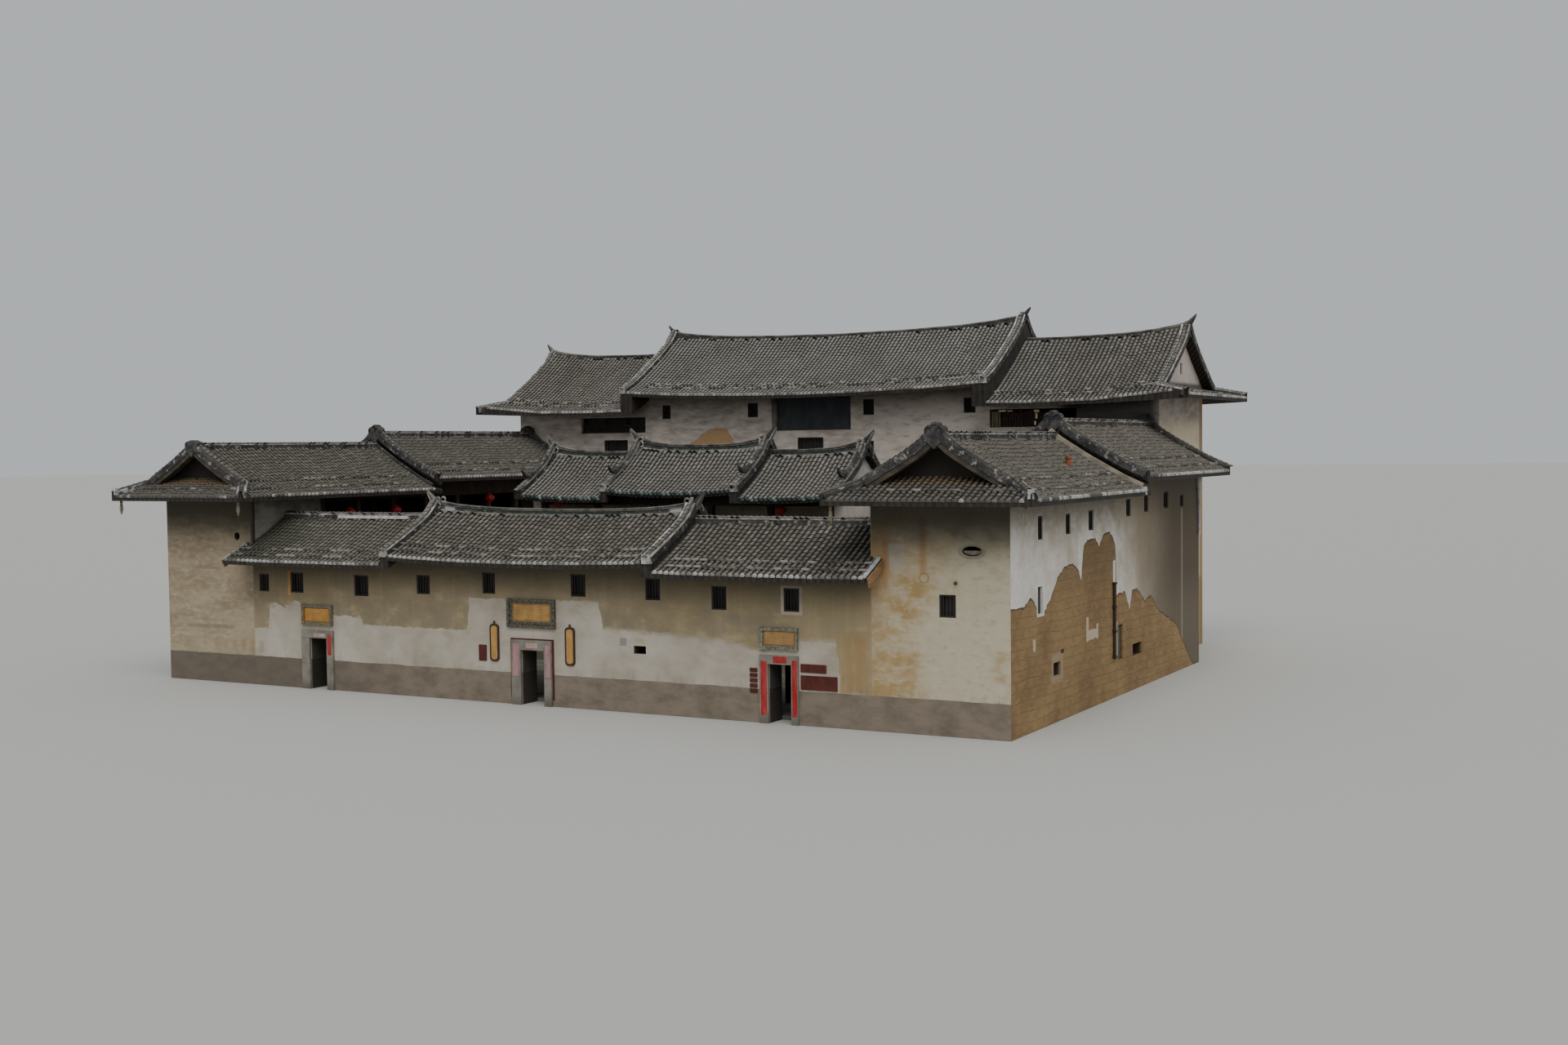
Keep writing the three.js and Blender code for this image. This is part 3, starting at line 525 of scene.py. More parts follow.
def old_timber(place):
    x, y, z = place.parts()
    upright = place.noise(0.05, (1, 1, 0.04), detail=5)
    level = place.noise(0.05, (0.04, 0.04, 1), detail=5)
    cloud = place.noise(1.3, detail=4)
    board = (x + y).wave(board_wide).fade(0.95, 0.99)
    colour = (upright * 0.6 + level * 0.3 + cloud * 0.3).fade(0.45, 0.8).mix("1f1812", "4a3a2b")
    colour = (cloud.fade(0.55, 0.75) * 0.4).mix(colour, "5a5247")
    return (board * 0.7).mix(colour, "0e0b09"), 0.75, upright * 0.6 - board, 0.012


timber_finish = finish("old_timber", old_timber)
coat(timber_finish, "hall_upper_floor", "hall_courtyard_frame", "middle_hall_front_frame",
     "rear_floor_3", "rear_floor_4", "rear_floor_5",
     "left_wing_gallery_frame", "left_wing_floor_2", "left_wing_floor_3",
     "right_wing_gallery_frame", "right_wing_floor_2", "right_wing_floor_3")

# Roofs: each slope is laid with rows of half-round cover tiles from ridge to eave, lapped
# and bedded in lime over the dark pan tiles, whose darkness is partly painted shade between
# the rows. All are fired grey clay. One tree of nodes lays them: it drops each tile on the imported roof's
# own face.
row_pitch = {"hall": 0.285, "middle": 0.265, "rear": 0.265, "wing": 0.275, "pent": 0.27}
tile_step = 0.26


def loose_piece(name, points, faces):
    """A small piece in real metres about its own middle, which a tree of nodes lays."""
    mesh = bpy.data.meshes.new(name)
    mesh.from_pydata([tuple(c * half_size for c in point) for point in points], [], faces)
    return bpy.data.objects.new(name, mesh)


def arched_tile(name, wide, long, high, lap, sides=4):
    """A half-round tile with its lower end towards +Y; the upper end is smaller and lower."""
    turns = [math.pi * i / sides for i in range(sides + 1)]
    points = [(-math.cos(a) * wide / 2 * size, y * long, foot + math.sin(a) * high * size)
              for y, size, foot in ((0.5, 1.0, lap), (-0.5, 0.84, 0.0)) for a in turns]
    count = sides + 1
    return loose_piece(name, points, [(i, count + i, count + i + 1, i + 1) for i in range(sides)])


def open_tree(name, inputs):
    """An empty tree of Geometry Nodes, a maker of its nodes, and what the tree is given by name."""
    tree = bpy.data.node_groups.new(name, "GeometryNodeTree")
    for label, kind in inputs.items():
        tree.interface.new_socket(label, in_out="INPUT", socket_type="NodeSocket" + kind)
    tree.interface.new_socket("Geometry", in_out="OUTPUT", socket_type="NodeSocketGeometry")

    def node(kind, settings, sockets, out=0):
        made = tree.nodes.new(kind)
        for key, value in settings.items():
            setattr(made, key, value)
        for key, value in sockets.items():
            if isinstance(value, bpy.types.NodeSocket):
                tree.links.new(value, made.inputs[key])
            else:
                made.inputs[key].default_value = value
        return made.outputs[out]

    return tree, node, tree.nodes.new("NodeGroupInput").outputs


def set_out(node, given, spots, facing, wanted=True):
    """The piece on each wanted spot, turned and tinted a little at random, as one mesh with its finish."""
    index = node("GeometryNodeInputIndex", {}, {})
    most = node("ShaderNodeCombineXYZ", {}, {axis: given["Turn"] for axis in range(3)})
    least = node("ShaderNodeVectorMath", {"operation": "SCALE"}, {0: most, "Scale": -1.0})
    angles = node("FunctionNodeRandomValue", {"data_type": "FLOAT_VECTOR"},
                  {0: least, 1: most, "Seed": given["Seed"], "ID": index})
    turn = node("FunctionNodeEulerToRotation", {}, {0: angles})
    turned = node("FunctionNodeRotateRotation", {"rotation_space": "LOCAL"}, {0: facing, 1: turn})
    piece = node("GeometryNodeObjectInfo", {}, {"Object": given["Piece"]}, "Geometry")
    laid = node("GeometryNodeInstanceOnPoints", {}, {
        "Points": spots, "Selection": wanted, "Instance": piece, "Rotation": turned})
    tint = node("FunctionNodeRandomValue", {"data_type": "FLOAT"},
                {2: 0.0, 3: 1.0, "Seed": given["Seed"], "ID": index}, 1)
    laid = node("GeometryNodeStoreNamedAttribute", {"data_type": "FLOAT", "domain": "INSTANCE"},
                {"Geometry": laid, "Name": "tint", "Value": tint})
    whole = node("GeometryNodeRealizeInstances", {}, {"Geometry": laid})
    whole = node("GeometryNodeSetShadeSmooth", {}, {0: whole})
    return node("GeometryNodeSetMaterial", {}, {"Geometry": whole, "Material": given["Material"]})


def laying_tree():
    """Lays a piece in rows on a roof, where the rows may widen into a hip at either end."""
    tree, node, given = open_tree("laid_on_roof", {
        "Geometry": "Geometry", "Roof": "Object", "Piece": "Object", "Start": "Vector",
        "Along": "Vector", "Down": "Vector", "Rows": "Int", "Steps": "Int", "Row Pitch": "Float",
        "Step": "Float", "First Step": "Float", "Length": "Float", "Hip Foot": "Float",
        "Hip End": "Float", "Hip Near": "Float", "Hip Far": "Float", "Sink": "Float",
        "Turn": "Float", "Kept": "Float", "Seed": "Int", "Material": "Material"})

    def calc(operation, first, second=0.0, third=0.0):
        return node("ShaderNodeMath", {"operation": operation}, {0: first, 1: second, 2: third})

    def chance(most, spot):
        return node("FunctionNodeRandomValue", {"data_type": "FLOAT"},
                    {2: 0.0, 3: most, "Seed": given["Seed"], "ID": spot}, 1)

    def scaled(vector, factor):
        return node("ShaderNodeVectorMath", {"operation": "SCALE"}, {0: vector, "Scale": factor})

    def summed(first, second):
        return node("ShaderNodeVectorMath", {"operation": "ADD"}, {0: first, 1: second})

    index = node("GeometryNodeInputIndex", {}, {})
    row = calc("FLOOR", calc("DIVIDE", calc("ADD", index, 0.5), given["Steps"]))
    step = calc("SUBTRACT", index, calc("MULTIPLY", row, given["Steps"]))
    span = calc("MULTIPLY", calc("SUBTRACT", given["Rows"], 1.0), given["Row Pitch"])
    margin = calc("DIVIDE", calc("SUBTRACT", given["Length"], span), 2.0)
    along = calc("MULTIPLY_ADD", row, given["Row Pitch"], margin)
    most_slip = 0.55
    slipped = calc("SUBTRACT", step, chance(most_slip, row))
    down = calc("MULTIPLY_ADD", slipped, given["Step"], given["First Step"])
    spot = summed(given["Start"], summed(scaled(given["Along"], along), scaled(given["Down"], down)))

    widen = node("ShaderNodeMapRange", {}, {"Value": down, "From Min": given["Hip Foot"],
                                            "From Max": given["Hip End"]})
    near = calc("ADD", along, calc("MULTIPLY", widen, given["Hip Near"]))
    far = calc("MULTIPLY_ADD", widen, given["Hip Far"], given["Length"])
    inside = calc("MULTIPLY", calc("GREATER_THAN", near, 0.0), calc("LESS_THAN", along, far))
    roof = node("GeometryNodeObjectInfo", {}, {"Object": given["Roof"]}, "Geometry")
    hit = node("GeometryNodeRaycast", {}, {
        "Target Geometry": roof, "Source Position": spot, "Ray Direction": (0, 0, -1),
        "Ray Length": 50}).node.outputs
    kept = calc("LESS_THAN", chance(1.0, index), given["Kept"])
    wanted = calc("MULTIPLY", calc("MULTIPLY", inside, kept), hit["Is Hit"])

    sunk = scaled(hit["Hit Normal"], calc("MULTIPLY", given["Sink"], -1.0))
    spots = node("GeometryNodeMeshLine", {}, {
        "Count": calc("MULTIPLY", given["Rows"], given["Steps"]), "Offset": (0, 0, 0)})
    spots = node("GeometryNodeSetPosition", {}, {
        "Geometry": spots, "Position": summed(hit["Hit Position"], sunk)})
    facing = node("FunctionNodeAxesToRotation", {"primary_axis": "Z", "secondary_axis": "Y"},
                  {0: hit["Hit Normal"], 1: given["Down"]})
    both = tree.nodes.new("GeometryNodeJoinGeometry")
    tree.links.new(set_out(node, given, spots, facing, wanted), both.inputs[0])
    tree.links.new(given["Geometry"], both.inputs[0])
    tree.links.new(both.outputs[0], tree.nodes.new("NodeGroupOutput").inputs[0])
    return tree


laid_on_roof = laying_tree()


def fill(modifier, tree, values):
    """Sets a modifier's inputs by the names of the tree's sockets."""
    for item in tree.interface.items_tree:
        if item.in_out == "INPUT" and item.name in values:
            modifier[item.identifier] = values[item.name]


def settled(piece):
    """The piece as a plain mesh that rides on the house."""
    graph = bpy.context.evaluated_depsgraph_get()
    mesh = bpy.data.meshes.new_from_object(
        piece.evaluated_get(graph), preserve_all_data_layers=True, depsgraph=graph)
    piece.modifiers.clear()
    piece.data = mesh
    mesh.name = piece.name
    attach(piece, "root")


def dressed_roof(name, roof, layers):
    """One piece from several layers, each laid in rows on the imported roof."""
    piece = bpy.data.objects.new(name, bpy.data.meshes.new(name))
    bpy.context.scene.collection.objects.link(piece)
    for layer in layers:
        lengths = {"Row Pitch", "Step", "First Step", "Length", "Hip Foot", "Hip End", "Hip Near",
                   "Hip Far", "Sink"}
        values = {key: value * half_size if key in lengths else value for key, value in layer.items()}
        rows_wide = layer["Length"] + layer.get("Hip Near", 0) + layer.get("Hip Far", 0)
        values["Rows"] = 2 * int(rows_wide / layer["Row Pitch"] / 2 + 1) + 1
        modifier = piece.modifiers.new("laid", "NODES")
        modifier.node_group = laid_on_roof
        fill(modifier, laid_on_roof, {"Roof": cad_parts[roof], "Hip End": 1.0, "Kept": 1.0, **values})
    settled(piece)


def tile_clay(place):
    x, y, z = place.parts()
    tint = place.tint()
    cloud = place.noise(2.6, detail=5)
    fine = place.noise(0.16, detail=3)
    # Painted shade: the sides of each tile, facing away from the sky, darken towards near black, and only
    # the crowns keep the clay's colour.
    crown = place.facing_up().fade(0.3, 0.82)
    clay = place.node("ValToRGB", {"stops": [
        (0.0, linear("565147")), (0.5, linear("676157")), (0.85, linear("777167")),
        (0.96, linear("938c80")), (1.0, linear("b0a99d"))]}, {"Fac": tint * 0.75 + fine * 0.5 - 0.12})
    inner_roofs = x.size().fade(16.0, 10.0) * z.fade(8.4, 9.0) * 0.25
    clay = (inner_roofs + z.fade(12.6, 14.0) * 0.15).mix(clay, "9c9a94")
    colour = ((cloud + fine * 0.4 - 0.2).fade(0.42, 0.62) * 0.35).mix(clay, "5c584c")
    damp_end = x.fade(-13.0, -16.5) * y.fade(3.4, 2.6) * z.fade(9.0, 8.4)
    moss = (place.noise(1.1, detail=6) + damp_end * 0.4).fade(0.6, 0.76)
    colour = (moss * 0.65).mix(colour, "454836")
    colour = (damp_end * 0.3).mix(colour, "35352b")
    under_gable = (x.size() - wing_line).size().fade(2.75, 2.6) * z.within(8.9, 10.32, 0.02)
    dry = y.within(-0.78, 0.02, 0.06) * under_gable
    colour = (dry * (fine * 0.6 + 0.55)).mix(colour, "7d6545")
    on_wing = x.size().fade(15.4, 15.8) * z.within(8.3, 12.6, 0.2)
    colour = (on_wing * 0.3).mix(colour, "47433b")
    colour = crown.mix("2f2c27", colour)
    return colour, 0.88, fine, 0.02


cover_tile = arched_tile("cover_tile", wide=0.215, long=0.32, high=0.085, lap=0.02, sides=6)

# What each slope measures: the node, the axis of its ridge, the ridge's line, the reach
# to the eave, and the stretch along the ridge between its ribs.
hall_line, hall_reach = 2.4, 3.93
middle_line, middle_reach = 15.1, 3.53
rear_line, rear_reach = 31.35, 6.15
wing_line, wing_reach = 20.3, 4.45
tile_finish = finish("grey_clay_tile", tile_clay)
slopes = {}
for roof, line, reach, near, far in (
    ("hall_left_roof", hall_line, hall_reach, -17.6, -7.47),
    ("hall_right_roof", hall_line, hall_reach, 7.47, 17.6),
    ("hall_centre_roof", hall_line, hall_reach, -7.1, 7.1),
    ("middle_hall_left_roof", middle_line, middle_reach, -9.35, -4.12),
    ("middle_hall_right_roof", middle_line, middle_reach, 4.12, 9.35),
    ("middle_hall_centre_roof", middle_line, middle_reach, -3.75, 3.75),
    ("rear_centre_roof", rear_line, rear_reach, -11.6, 11.6),
    ("rear_left_roof", rear_line, rear_reach, -21.15, -11.97),
    ("rear_right_roof", rear_line, rear_reach, 11.97, 21.15),
):
    hips = {}
    if roof in ("rear_left_roof", "rear_right_roof"):
        side = "Hip Near" if near < 0 else "Hip Far"
        hips = {"Hip Foot": 5.2, "Hip End": rear_reach, side: 1.6}
    slopes[roof] = [
        {"Start": at(near, line, 40), "Along": (1, 0, 0), "Down": (0, way, 0), "Length": far - near,
         "Reach": reach, **hips} for way in (-1, 1)]
for word, side in (("left", -1), ("right", 1)):
    hip = {"Hip Foot": 3.3, "Hip End": wing_reach, "Hip Near": 1.24}
    slopes[word + "_wing_front_roof"] = [
        {"Start": at(side * wing_line, -0.45, 40), "Along": (0, 1, 0), "Down": (way, 0, 0), "Length": 13.03,
         "Reach": wing_reach, **hip} for way in (-1, 1)]
    slopes[word + "_wing_rear_roof"] = [
        {"Start": at(side * wing_line, 12.95, 40), "Along": (0, 1, 0), "Down": (way, 0, 0), "Length": 13.8,
         "Reach": wing_reach} for way in (-1, 1)]
    slopes[word + "_wing_pent_roof"] = [
        {"Start": at(side * wing_line - 2.4, 0, 40), "Along": (1, 0, 0), "Down": (0, -1, 0), "Length": 4.8,
         "Reach": 2.04, "Hip Foot": 0.0, "Hip End": 2.04, "Hip Near": 1.85, "Hip Far": 1.85, "First": 0.1}]
    start = at(side * 21.0, rear_line - 4.6, 40)
    slopes["rear_" + word + "_pent_roof"] = [
        {"Start": start, "Along": (0, 1, 0), "Down": (side, 0, 0), "Length": 9.2, "Reach": 2.1,
         "Hip Foot": 0.0, "Hip End": 2.1, "Hip Near": 1.4, "Hip Far": 1.4, "First": 0.1}]


def end_plug(name, wide, long, high, sides=6):
    """A short half-round dab of lime that closes the lower end of a row, wider at its foot."""
    turns = [math.pi * i / sides for i in range(sides + 1)]
    points = [(-math.cos(a) * wide / 2 * size, y * long, math.sin(a) * high * size)
              for y, size in ((-0.5, 0.9), (0.35, 1.0), (0.5, 0.8)) for a in turns]
    count = sides + 1
    faces = [(r * count + i, r * count + i + 1, (r + 1) * count + i + 1, (r + 1) * count + i)
             for r in range(2) for i in range(sides)]
    return loose_piece(name, points, faces + [tuple(range(2 * count, 3 * count))])


def worn_brick(name, long, deep, high):
    """A brick with worn upper edges that lies across the rows."""
    points = [(x * long * k, y * deep * k, z * high) for z, k in ((0.0, 1.0), (0.7, 0.98), (1.0, 0.86))
              for x, y in ((-0.5, -0.5), (0.5, -0.5), (0.5, 0.5), (-0.5, 0.5))]
    faces = [(r * 4 + i, r * 4 + (i + 1) % 4, r * 4 + 4 + (i + 1) % 4, r * 4 + 4 + i)
             for r in range(2) for i in range(4)]
    return loose_piece(name, points, faces + [(8, 9, 10, 11)])


def lime_dab(place):
    x, y, z = place.parts()
    tint = place.tint()
    stretch = place.noise(2.2, detail=3)
    colour = (tint * 0.5 + stretch * 1.1).fade(0.4, 1.05).mix("68645c", "aeaaa4")
    on_wing = x.size().fade(15.4, 15.6) * z.within(8.0, 11.0, 0.1)
    worn_off = y.within(4.6, 6.2).either(y.within(12.7, 15.4)) * x.fade(0, 1)
    fresh = y.within(1.0, 27.0) * (1 - worn_off)
    fleck = tint.fade(0.78, 0.9)
    bare = on_wing * (1 - fresh) * (1 - fleck * 0.7)
    return (bare * 0.88).mix(colour, "46433c"), 0.9, place.noise(0.07, detail=3), 0.01


def weight_brick(place):
    tint = place.tint()
    colour = (tint + place.noise(0.5) * 0.2).fade(0.3, 1.1).mix("3f3c37", "8d887f")
    return colour, 0.93, place.noise(0.05, detail=3), 0.01


lime_dab_finish = finish("lime_plug", lime_dab)
weight_finish = finish("weight_brick", weight_brick)
eave_plug = end_plug("eave_plug", wide=0.235, long=0.13, high=0.13)
roof_brick = worn_brick("roof_brick", long=0.36, deep=0.1, high=0.065)
tile_rise = 0.075

# Loose bricks weigh the rows down in courses: how far down each slope, how far apart the
# bricks lie and how many of them are left.
courses = {"hall": ((0.74, 0.43, 0.9), (0.88, 0.43, 0.9)), "wing": ((0.66, 0.5, 0.75), (0.84, 0.5, 0.8)),
           "pent": ((0.62, 0.56, 0.8),), "rear": ((0.80, 0.37, 0.6), (0.865, 0.33, 0.8)), "middle": ()}


def course_kind(roof):
    """Which of the courses a roof has."""
    if "pent" in roof:
        return "pent"
    return "wing" if "wing" in roof else roof.split("_")[0]


def drip_leaf(name, wide, drop, lean=0.47, thick=0.02):
    """A pointed leaf of glazed clay that hangs from the end of a row of pan tiles."""
    outline = [(-0.5, 0.0), (0.5, 0.0), (0.42, -0.45), (0.0, -1.0), (-0.42, -0.45)]
    proud, raised = 0.06, 0.03
    points = [(x * wide, proud + back - z * drop * lean, raised + z * drop)
              for back in (0.0, thick) for x, z in outline]
    faces = [(4, 3, 2, 1, 0), (5, 6, 7, 8, 9)] + [(i, (i + 1) % 5, 5 + (i + 1) % 5, 5 + i) for i in range(5)]
    return loose_piece(name, points, faces)


def green_glaze(place):
    tint = place.tint()
    colour = (tint * 0.7 + place.noise(0.3) * 0.5).fade(0.55, 1.1).mix("2c3833", "8a9b92")
    return colour, 0.45, place.noise(0.05, detail=2), 0.006


glaze_finish = finish("green_glaze", green_glaze)
drip_tile = drip_leaf("drip_tile", wide=0.2, drop=0.16)

seed = 0
for roof, planes in slopes.items():
    layers = []
    pitch = row_pitch[course_kind(roof)]
    for plane in planes:
        seed += 1
        plane = dict(plane)
        reach, first = plane.pop("Reach"), plane.pop("First", 0.3)
        steps = int((reach - first) / tile_step) + 1
        layers.append({**plane, "Piece": cover_tile, "Row Pitch": pitch, "First Step": first,
                       "Step": (reach - 0.12 - first) / (steps - 1), "Steps": steps, "Turn": 0.035,
                       "Seed": seed, "Material": tile_finish})
        glazed = course_kind(roof) == "middle"
        layers.append({**plane, "Piece": eave_plug, "Row Pitch": pitch, "First Step": reach - 0.035,
                       "Step": 0.0, "Steps": 1, "Turn": 0.08, "Seed": seed,
                       "Sink": 0.02, "Material": glaze_finish if glazed else lime_dab_finish})
        if glazed:
            start = Vector(plane["Start"]) + Vector(plane["Along"]) * pitch / 2 * half_size
            layers.append({**plane, "Piece": drip_tile, "Start": start, "Row Pitch": pitch, "Turn": 0.05,
                           "First Step": reach - 0.02, "Step": 0.0, "Steps": 1, "Seed": seed,
                           "Material": glaze_finish})
        for share, apart, kept in courses[course_kind(roof)]:
            layers.append({**plane, "Piece": roof_brick, "Row Pitch": apart, "First Step": reach * share,
                           "Step": 0.0, "Steps": 1, "Turn": 0.06, "Seed": seed + 50, "Kept": kept,
                           "Sink": -tile_rise, "Material": weight_finish})
    dressed_roof(roof.replace("_roof", "_tiles"), roof, layers)


# The roofs' own shells show as dark pan tiles between the rows, and from below as rafters
# and battens of black timber. Their near-black colour is partly their own and partly painted
# shade, in the channels between the rows and under the eaves.
rafter_gap = 0.3307


def pan_and_rafter(place):
    x, y, z = place.parts()
    facing = place.facing_up()
    cloud = place.noise(0.5, detail=5)
    # Painted shade in part: the pans between the rows are near black.
    pan = cloud.fade(0.3, 0.75).mix("23211e", "3d3a35")
    rafter = (x + y).wave(rafter_gap).fade(-0.2, 0.5)
    # Painted shade in part: faces turned down, under the eaves, take near-black timber.
    timber = (rafter * 0.7 + cloud * 0.4).fade(0.2, 1.0).mix("14100d", "3a2d22")
    return facing.fade(-0.1, 0.1).mix(timber, pan), 0.92, cloud, 0.02


coat(finish("pan_tile_and_rafter", pan_and_rafter), *slopes)

# Verges and plain ridges: a hump of grey lime mortar over each rib of a roof, with half-round
# tiles pressed into its crown and a pale uneven line of fresh lime along its edges.
tops = {}


def on_top(node, x, y):
    """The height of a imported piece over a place, in metres of the real house."""
    if node not in tops:
        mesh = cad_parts[node].data
        tops[node] = BVHTree.FromPolygons([v.co for v in mesh.vertices], [p.vertices for p in mesh.polygons])
    hit = tops[node].ray_cast(at(x, y, 60), Vector((0, 0, -1)))[0]
    return hit.z / half_size if hit else None


class Making:
    """A piece in the making: closed forms in real metres, each with one of its finishes."""

    def __init__(self):
        self.points, self.faces, self.finishes, self.kinds = [], [], [], []

    def form(self, look, points, faces):
        """Adds one closed form."""
        if look not in self.finishes:
            self.finishes.append(look)
        start = len(self.points)
        self.points.extend(points)
        self.faces.extend(tuple(start + i for i in face) for face in faces)
        self.kinds.extend([self.finishes.index(look)] * len(faces))

    def box(self, look, low, high):
        spots = [(x, y, z) for z in (low[2], high[2]) for x, y in (
            (low[0], low[1]), (high[0], low[1]), (high[0], high[1]), (low[0], high[1]))]
        self.form(look, spots, [(3, 2, 1, 0), (4, 5, 6, 7), (0, 1, 5, 4), (1, 2, 6, 5), (2, 3, 7, 6),
                                (3, 0, 4, 7)])

    def run(self, look, path, section, size=lambda share: 1.0):
        """A moulding along a path; its section is a list of (sideways, up)."""
        path = [Vector(spot) for spot in path]
        count, last = len(section), len(path) - 1
        points, faces = [], []
        for i, spot in enumerate(path):
            way = (path[min(i + 1, last)] - path[max(i - 1, 0)]).normalized()
            level = Vector((0, 0, 1)) if abs(way.z) < 0.98 else Vector((0, 1, 0))
            side = way.cross(level).normalized()
            rise = side.cross(way)
            scale = size(i / last)
            points += [spot + side * (a * scale) + rise * (b * scale) for a, b in section]
        for i in range(last):
            for j in range(count):
                k = (j + 1) % count
                faces.append((i * count + j, i * count + k, (i + 1) * count + k, (i + 1) * count + j))
        faces += [tuple(range(count))[::-1], tuple(range(last * count, (last + 1) * count))]
        self.form(look, points, faces)

    def made(self, name, slot, *stands_for):
        """The finished piece, which rides on the house."""
        mesh = bpy.data.meshes.new(name)
        mesh.from_pydata([at(*point) for point in self.points], [], self.faces)
        for look in self.finishes:
            mesh.materials.append(look)
        mesh.polygons.foreach_set("material_index", self.kinds)
        work = bmesh.new()
        work.from_mesh(mesh)
        bmesh.ops.recalc_face_normals(work, faces=work.faces)
        work.to_mesh(mesh)
        work.free()
        piece = bpy.data.objects.new(name, mesh)
        bpy.context.scene.collection.objects.link(piece)
        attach(piece, "root")
        if stands_for:
            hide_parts(*stands_for)


def path_tree():
    """Lays a piece again and again along lines of edges."""
    tree, node, given = open_tree("laid_on_path", {
        "Geometry": "Geometry", "Piece": "Object", "Gap": "Float", "Turn": "Float", "Seed": "Int",
        "Material": "Material"})
    line = node("GeometryNodeMeshToCurve", {}, {"Mesh": given["Geometry"]})
    spots = node("GeometryNodeCurveToPoints", {"mode": "LENGTH"}, {"Curve": line, "Length": given["Gap"]})
    facing = node("FunctionNodeAxesToRotation", {"primary_axis": "Y", "secondary_axis": "Z"},
                  {0: spots.node.outputs["Tangent"], 1: (0, 0, 1)})
    tree.links.new(set_out(node, given, spots, facing), tree.nodes.new("NodeGroupOutput").inputs[0])
    return tree


laid_on_path = path_tree()


def strung(name, paths, piece, gap, look, turn=0.05, seed=1):
    """Copies of a piece along paths in real metres, as one piece of the house."""
    points, edges = [], []
    for path in paths:
        edges += [(len(points) + i, len(points) + i + 1) for i in range(len(path) - 1)]
        points += [at(*spot) for spot in path]
    mesh = bpy.data.meshes.new(name)
    mesh.from_pydata(points, edges, [])
    row = bpy.data.objects.new(name, mesh)
    bpy.context.scene.collection.objects.link(row)
    modifier = row.modifiers.new("laid", "NODES")
    modifier.node_group = laid_on_path
    fill(modifier, laid_on_path, {"Piece": piece, "Gap": gap * half_size, "Turn": turn, "Seed": seed,
                                  "Material": look})
    settled(row)


def grey_mortar(place):
    cloud = place.noise(0.9, detail=6, rough=0.65)
    fine = place.noise(0.12, detail=4)
    colour = (cloud + fine * 0.5 - 0.25).fade(0.3, 0.72).mix("242322", "4f4c48")
    colour = ((place.noise(0.25, detail=5) + fine * 0.3).fade(0.7, 0.84) * 0.65).mix(colour, "a9a7a2")
    x, y, z = place.parts()
    left_ends = x.fade(-21.5, -23.5).either(x.fade(-17.0, -16.2) * x.fade(-10, -12))
    new_end = left_ends * y.fade(-0.8, -1.3) * (place.noise(0.25, detail=4) + fine * 0.3).fade(0.5, 0.7)
    colour = (new_end * 0.8).mix(colour, "a8a5a6")
    return colour, 0.92, cloud * 0.6 + fine * 0.4, 0.03


def pale_lime(place):
    fine = place.noise(0.18, detail=5)
    colour = (place.noise(0.8, detail=4) + fine * 0.6).fade(0.5, 1.1).mix("75726b", "c0bdb6")
    gap = (place.noise(0.4, (1, 1, 0.5), detail=3) + fine * 0.2).fade(0.54, 0.64)
    return (gap * 0.6).mix(colour, "55524d"), 0.9, fine, 0.02


def fresh_line(place):
    fine = place.noise(0.2, detail=5)
    colour = (place.noise(0.7, detail=4) + fine * 0.5).fade(0.5, 1.0).mix("a3a09a", "d6d3cd")
    gap = (place.noise(0.5, (1, 1, 0.6), detail=3) + fine * 0.2).fade(0.6, 0.68)
    return (gap * 0.75).mix(colour, "5b5853"), 0.9, fine, 0.02


def worn_coping(place):
    cloud = place.noise(0.7, detail=5)
    fine = place.noise(0.1, detail=3)
    colour = (cloud + fine * 0.4 - 0.2).fade(0.32, 0.66).mix("3f3d39", "756f67")
    return colour, 0.9, cloud * 0.5 + fine * 0.5, 0.02


def grained(first, second, grain, stretch=(1, 1, 1), detail=4.0, limits=(0.35, 0.7), rough=0.9, depth=0.0):
    """The look of a finish with one grain from the first to the second colour; depth 0 is smooth."""
    def look(place):
        pattern = place.noise(grain, stretch, detail)
        return pattern.fade(*limits).mix(first, second), rough, pattern if depth else None, depth
    return look


def rod(wide, high=None, sides=8):
    """The outline of a round or oval section, by its half width and half height."""
    turns = [2 * math.pi * i / sides for i in range(sides)]
    return [(math.cos(a) * wide, math.sin(a) * (high or wide)) for a in turns]


mortar_finish = finish("grey_mortar", grey_mortar)
lime_line_finish = finish("pale_lime", pale_lime)
fresh_line_finish = finish("fresh_lime_line", fresh_line)
coping_finish = finish("worn_coping", worn_coping)
# A dark olive course under the wings' front verges: painted shade under the verge.
olive_shade_finish = finish("olive_render", grained(
    "36322b", "51493c", 0.5, (1, 1, 1.6), detail=5, rough=0.92, depth=0.02))
rib_tile = arched_tile("rib_tile", wide=0.24, long=0.34, high=0.1, lap=0.025)


def over(roof, spots, lift=0.0, spacing=0.3):
    """A path over the top of a roof, through places on its plan."""
    path = []
    for (x0, y0), (x1, y1) in zip(spots, spots[1:]):
        count = max(1, round(math.hypot(x1 - x0, y1 - y0) / spacing))
        path += [(x0 + (x1 - x0) * i / count, y0 + (y1 - y0) * i / count) for i in range(count)]
    path.append(spots[-1])
    return [(x, y, on_top(roof, x, y) + lift) for x, y in path]


inset, beside_ridge = 0.03, 0.26
ribs = {}


